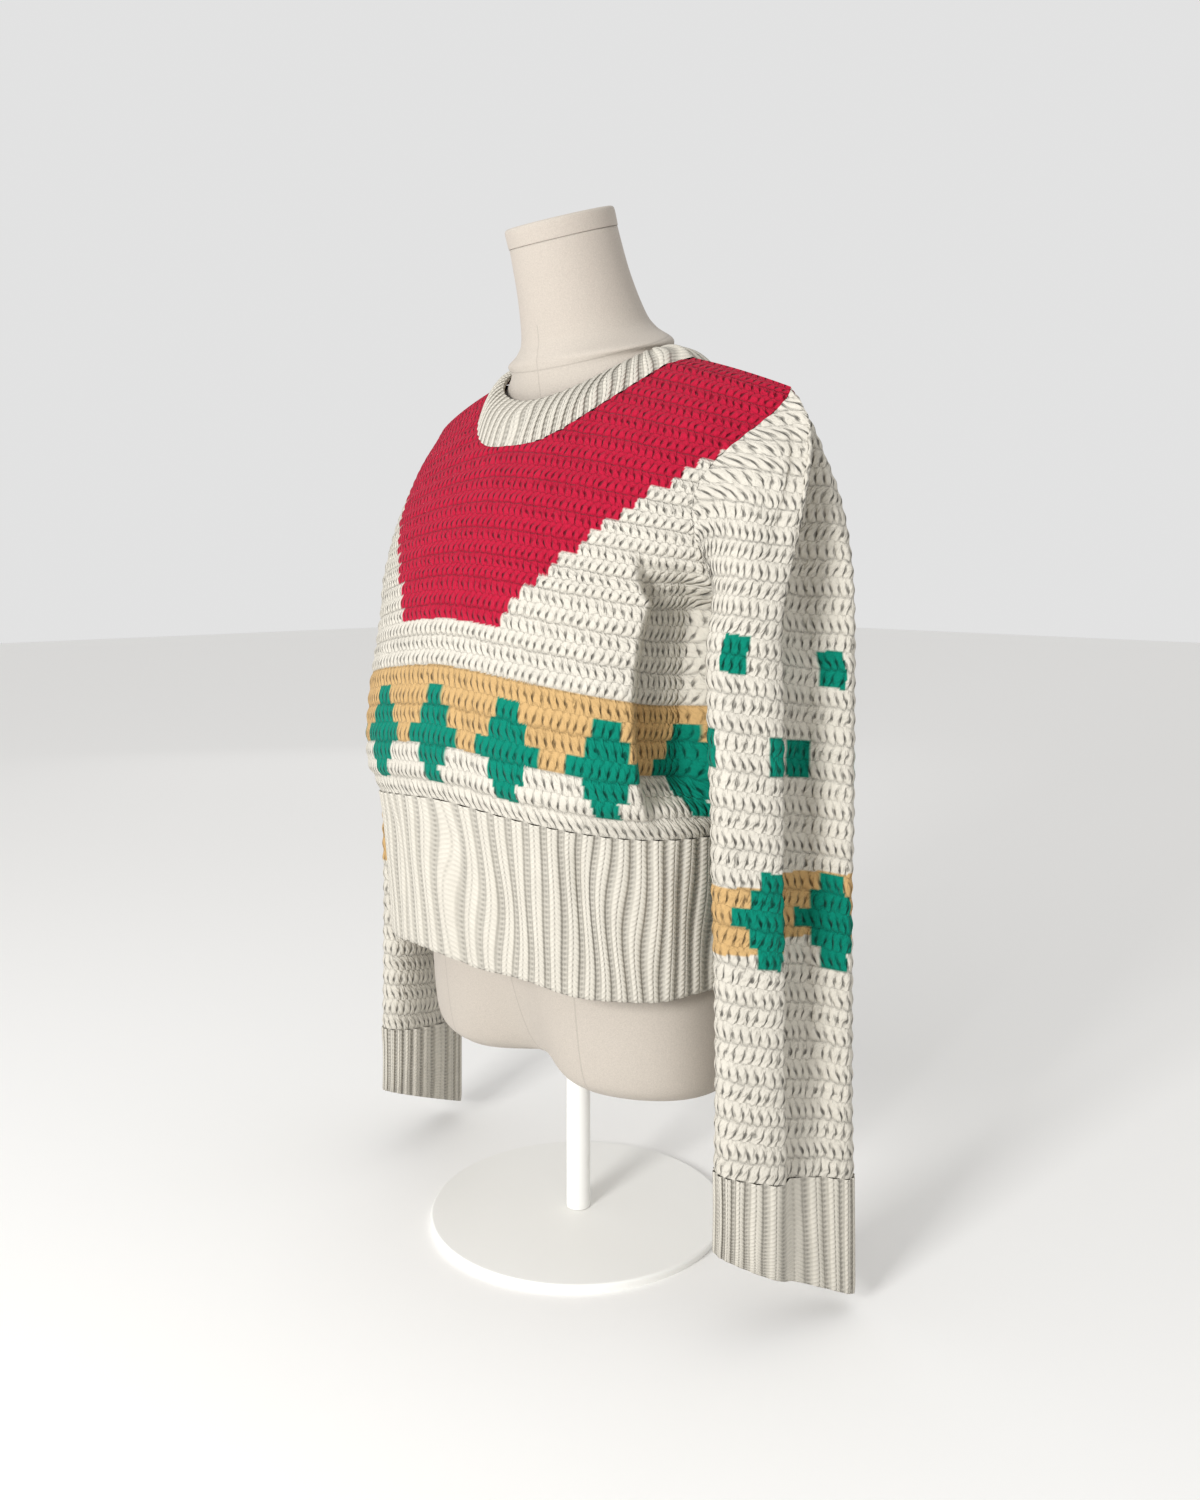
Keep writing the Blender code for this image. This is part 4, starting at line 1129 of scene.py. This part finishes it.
def skin_object(name, rings, steps, material):
    """A smooth closed skin through rings, with a flat end at each side."""
    columns = rings[0].shape[0] - 1
    net = through_rings(rings, np.linspace(0.0, len(rings) - 1.0, steps))
    ends = []
    for ring in (net[0], net[-1]):
        middle = ring[:-1].mean(axis=0)
        ends.append([middle + (ring - middle) * share for share in END_SHARES])
    net = np.concatenate([np.array(ends[0]), net, np.array(ends[1])[::-1]])
    mesh, _, _ = grid_mesh(name, columns, len(net) - 1)
    mesh.vertices.foreach_set("co", net.reshape(-1, 3).astype(np.float32).ravel())
    shape = bmesh.new()
    shape.from_mesh(mesh)
    bmesh.ops.remove_doubles(shape, verts=shape.verts, dist=WELD)
    bmesh.ops.holes_fill(shape, edges=shape.edges)
    bmesh.ops.recalc_face_normals(shape, faces=shape.faces)
    shape.to_mesh(mesh)
    shape.free()
    return smooth_object(name, mesh, material)


def build_form():
    """The canvas cover of the torso with its neck, and the cap on top."""
    angle = np.linspace(0.0, 2.0 * np.pi, RING_POINTS)
    rings = [trunk_ring(section, angle) for section in FORM_SECTIONS]
    rings += [shoulder_ring(section, angle) for section in SHOULDER_SECTIONS]
    rings += [neck_ring(*row, angle) for row in NECK_RINGS]
    torso = skin_object("form_cover", rings, TORSO_STEPS, canvas())
    top_z, top_y = NECK_RINGS[-1][:2]
    cap_rings = []
    for height, inset in CAP_RINGS:
        z = top_z + height * math.cos(NECK_LEAN)
        y = top_y - height * math.sin(NECK_LEAN)
        cap_rings.append(neck_ring(z, y, CAP_RADIUS - inset, 1.0, 1.0, angle))
    cap = skin_object("form_cap_cover", cap_rings, CAP_STEPS, canvas())
    return torso, cap


def turned_object(name, profile, material):
    """A solid turned round the upright axis from a profile of radius and height."""
    shape = bmesh.new()
    verts = [shape.verts.new((radius, 0.0, z)) for radius, z in profile]
    edges = [shape.edges.new(pair) for pair in zip(verts, verts[1:])]
    bmesh.ops.spin(
        shape, geom=verts + edges, axis=(0.0, 0.0, 1.0), cent=(0.0, 0.0, 0.0), angle=2.0 * math.pi,
        steps=128, use_merge=True,
    )
    bmesh.ops.remove_doubles(shape, verts=shape.verts, dist=WELD)
    bmesh.ops.recalc_face_normals(shape, faces=shape.faces)
    mesh = bpy.data.meshes.new(name)
    shape.to_mesh(mesh)
    shape.free()
    thing = smooth_object(name, mesh, material)
    mesh.set_sharp_from_angle(angle=math.radians(40.0))
    return thing


# The camera at the photograph's place, in metres
CAMERA_AZIMUTH = math.radians(46.0)
CAMERA_DISTANCE = 1.22
CAMERA_ASIDE = 0.020
CAMERA_HEIGHT = 0.604
CAMERA_LENS = 31.68
CAMERA_SHIFT = -0.1267

# The light and the floor
FLOOR_HALF = 9.0
WORLD_STRENGTH = 0.68
KEY_SIZE = 0.6
KEY_PLACE = (0.55, -2.35, 1.1)
FILL_WATTS = 1.5
FILL_SIZE = 2.0
FILL_PLACE = (-2.4, 1.6, 1.2)
LIT_PLACE = (0.0, 0.0, 0.5)

# The stand's heights, the base's rounded edge and the ring on its top
BASE_TOP = 0.008
BASE_EDGE = 0.002
EDGE_STEPS = 8
BASE_RING = 0.016
POLE_FOOT = 0.0084
POLE_TOP = 0.1526

# The flat cut of each sheet, width and length
HEM_CUT = (1.04, 0.134)
CUFF_CUT = (0.29, 0.097)
COLLAR_CUT = (0.62, 0.045)


class StandSettings(bpy.types.PropertyGroup):
    """Sizes of the stand under the form."""

    base_radius: bpy.props.FloatProperty(
        name="Base radius", description="Radius of the round base", default=0.135, unit="LENGTH"
    )
    pole_radius: bpy.props.FloatProperty(
        name="Pole radius", description="Radius of the stand's pole", default=0.011, unit="LENGTH"
    )


class StudioSettings(bpy.types.PropertyGroup):
    """Light and floor of the picture."""

    floor_colour: bpy.props.FloatVectorProperty(
        name="Floor colour", description="Colour of the floor, linear", subtype="COLOR",
        default=tuple(linear("#F4F3F1")),
    )
    key_watts: bpy.props.FloatProperty(
        name="Key light", description="Power of the large soft light", default=38.0, unit="POWER"
    )


class SWEATER_OT_panels(bpy.types.Operator):
    """Build the front and back panels in double crochet"""

    bl_idname = "sweater.panels"
    bl_label = "Crochet panels"

    def execute(self, context):
        rows = (
            (FRONT, "front", "front_yarn", FRONT_CREASES),
            (BACK, "back", "back_yarn", BACK_CREASES),
        )
        for side, node, slot, folds in rows:
            cloth = build_panel(side, f"{node}_cloth", folds)
            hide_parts(node)
        return {"FINISHED"}


class SWEATER_OT_sleeves(bpy.types.Operator):
    """Build the two hanging sleeves"""

    bl_idname = "sweater.sleeves"
    bl_label = "Sleeves"

    def execute(self, context):
        for word, hand in (("left", 1), ("right", -1)):
            cloth = build_sleeve(word, hand)
            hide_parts(f"sleeve_{word}")
        return {"FINISHED"}


class SWEATER_OT_ribs(bpy.types.Operator):
    """Build the hem rib, the cuffs and the collar"""

    bl_idname = "sweater.ribs"
    bl_label = "Ribs"

    def execute(self, context):
        hem = build_rib("hem_rib_cloth", HEM_RIBS, 44, hem_surface, HEM_CUT[1], 1, HEM_CREASES)
        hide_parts("hem_rib")
        for word, hand in (("left", 1), ("right", -1)):
            folds = mirrored(CUFF_CREASES, hand)
            surface = cuff_surface(hand)
            cuff = build_rib(f"cuff_{word}_cloth", CUFF_RIBS, 46, surface, CUFF_CUT[1], hand, folds)
            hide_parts(f"cuff_{word}")
        collar = build_rib("neck_rib_cloth", COLLAR_RIBS, 30, collar_surface, COLLAR_CUT[1], -1, (), 0.40)
        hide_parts("neck_rib")
        return {"FINISHED"}


class SWEATER_OT_form(bpy.types.Operator):
    """Build the canvas-covered form and its neck cap"""

    bl_idname = "sweater.form"
    bl_label = "Dress form"

    def execute(self, context):
        torso, cap = build_form()
        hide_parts("form_torso")
        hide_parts("form_neck_cap")
        return {"FINISHED"}


class SWEATER_OT_stand(bpy.types.Operator):
    """Build the pole and the round base"""

    bl_idname = "sweater.stand"
    bl_label = "Stand"

    def execute(self, context):
        pole, base = build_stand()
        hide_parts("stand_pole")
        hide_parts("stand_base")
        return {"FINISHED"}


class SWEATER_OT_stage(bpy.types.Operator):
    """Build the floor, the lights and the camera"""

    bl_idname = "sweater.stage"
    bl_label = "Studio"

    def execute(self, context):
        build_studio()
        return {"FINISHED"}


class SWEATER_PT_panel(bpy.types.Panel):
    """Lists the sweater's pieces in the sidebar"""

    bl_label = "Sweater"
    bl_idname = "SWEATER_PT_panel"
    bl_space_type = "VIEW_3D"
    bl_region_type = "UI"
    bl_category = "Sweater"

    def draw(self, context):
        column = self.layout.column()
        for operator in OPERATORS:
            column.operator(operator.bl_idname)
        for group in ("sweater_panels", "sweater_ribs", "sweater_stand", "sweater_studio"):
            settings = getattr(context.scene, group)
            for name in settings.bl_rna.properties.keys():
                if name not in ("rna_type", "name"):
                    column.prop(settings, name)


def build_stand():
    """The pole and the round base, turned from their profiles."""
    settings = bpy.context.scene.sweater_stand
    inner = settings.base_radius - BASE_EDGE
    base_profile = [(0.0, 0.0), (inner, 0.0)]
    for step in range(EDGE_STEPS, -1, -1):
        angle = math.pi / 2.0 * step / EDGE_STEPS
        z = BASE_TOP - BASE_EDGE + BASE_EDGE * math.cos(angle)
        base_profile.append((inner + BASE_EDGE * math.sin(angle), z))
    base_profile += [(BASE_RING, BASE_TOP), (0.0, BASE_TOP)]
    base = turned_object("stand_base_steel", base_profile, enamel())
    radius = settings.pole_radius
    pole_profile = [(0.0, POLE_FOOT), (radius, POLE_FOOT), (radius, POLE_TOP), (0.0, POLE_TOP)]
    pole = turned_object("stand_pole_steel", pole_profile, enamel())
    return pole, base


def studio_material():
    """Seamless paper unrolled over the floor: matt, nearly white, with a faint grain."""
    material, tree, shader = new_material("seamless paper, matt")
    place = add_node(tree, "ShaderNodeTexCoord").outputs["Object"]
    grain = add_node(tree, "ShaderNodeTexNoise", None, {"Vector": place, "Scale": 500.0, "Detail": 1.0})
    bump = add_node(
        tree, "ShaderNodeBump", None, {"Strength": 0.1, "Distance": 0.0002, "Height": grain.outputs["Fac"]}
    )
    tree.links.new(bump.outputs[0], shader.inputs["Normal"])
    shader.inputs["Base Color"].default_value = (*bpy.context.scene.sweater_studio.floor_colour, 1.0)
    shader.inputs["Roughness"].default_value = 0.95
    return material


def add_light(name, watts, size, place, target):
    """A square soft light that faces a point."""
    light = bpy.data.lights.new(name, "AREA")
    light.energy = watts
    light.size = size
    thing = bpy.data.objects.new(name, light)
    bpy.context.scene.collection.objects.link(thing)
    place = Vector(place)
    thing.location = place
    thing.rotation_euler = (Vector(target) - place).to_track_quat("-Z", "Y").to_euler()


def build_studio():
    """The floor, two soft lights, a pale world and the camera at the photograph's place."""
    scene = bpy.context.scene
    right = Vector((math.cos(CAMERA_AZIMUTH), math.sin(CAMERA_AZIMUTH), 0.0))
    away = Vector((math.sin(CAMERA_AZIMUTH), -math.cos(CAMERA_AZIMUTH), 0.0))
    shape = bmesh.new()
    bmesh.ops.create_grid(shape, x_segments=2, y_segments=2, size=FLOOR_HALF)
    mesh = bpy.data.meshes.new("floor")
    shape.to_mesh(mesh)
    shape.free()
    floor = bpy.data.objects.new("floor", mesh)
    scene.collection.objects.link(floor)
    mesh.materials.append(studio_material())
    world = bpy.data.worlds.new("pale room")
    world.use_nodes = True
    background = world.node_tree.nodes["Background"]
    background.inputs["Color"].default_value = (*linear("#FAFAFA"), 1.0)
    background.inputs["Strength"].default_value = WORLD_STRENGTH
    scene.world = world
    add_light("key", scene.sweater_studio.key_watts, KEY_SIZE, KEY_PLACE, LIT_PLACE)
    add_light("fill", FILL_WATTS, FILL_SIZE, FILL_PLACE, LIT_PLACE)
    camera = bpy.data.cameras.new("camera")
    camera.lens = CAMERA_LENS
    camera.shift_y = CAMERA_SHIFT
    thing = bpy.data.objects.new("camera", camera)
    thing.location = away * CAMERA_DISTANCE + right * CAMERA_ASIDE + Vector((0.0, 0.0, CAMERA_HEIGHT))
    thing.rotation_euler = (math.pi / 2.0, 0.0, CAMERA_AZIMUTH)
    scene.collection.objects.link(thing)
    scene.camera = thing
    scene.view_settings.view_transform = "Standard"
    scene.view_settings.look = "Medium High Contrast"


OPERATORS = (
    SWEATER_OT_stage,
    SWEATER_OT_form,
    SWEATER_OT_panels,
    SWEATER_OT_sleeves,
    SWEATER_OT_ribs,
    SWEATER_OT_stand,
)
GROUPS = (
    ("sweater_panels", PanelSettings),
    ("sweater_ribs", RibSettings),
    ("sweater_stand", StandSettings),
    ("sweater_studio", StudioSettings),
)


def register():
    """Adds the settings, the operators and the panel to Blender."""
    for name, group in GROUPS:
        bpy.utils.register_class(group)
        setattr(bpy.types.Scene, name, bpy.props.PointerProperty(type=group))
    for operator in OPERATORS:
        bpy.utils.register_class(operator)
    bpy.utils.register_class(SWEATER_PT_panel)


def unregister():
    """Takes them out again."""
    bpy.utils.unregister_class(SWEATER_PT_panel)
    for operator in reversed(OPERATORS):
        bpy.utils.unregister_class(operator)
    for name, group in reversed(GROUPS):
        delattr(bpy.types.Scene, name)
        bpy.utils.unregister_class(group)


def main():
    """Builds every piece and the studio."""
    register()
    bpy.ops.sweater.stage()
    bpy.ops.sweater.form()
    bpy.ops.sweater.panels()
    bpy.ops.sweater.sleeves()
    bpy.ops.sweater.ribs()
    bpy.ops.sweater.stand()


if __name__ == "__main__":
    main()
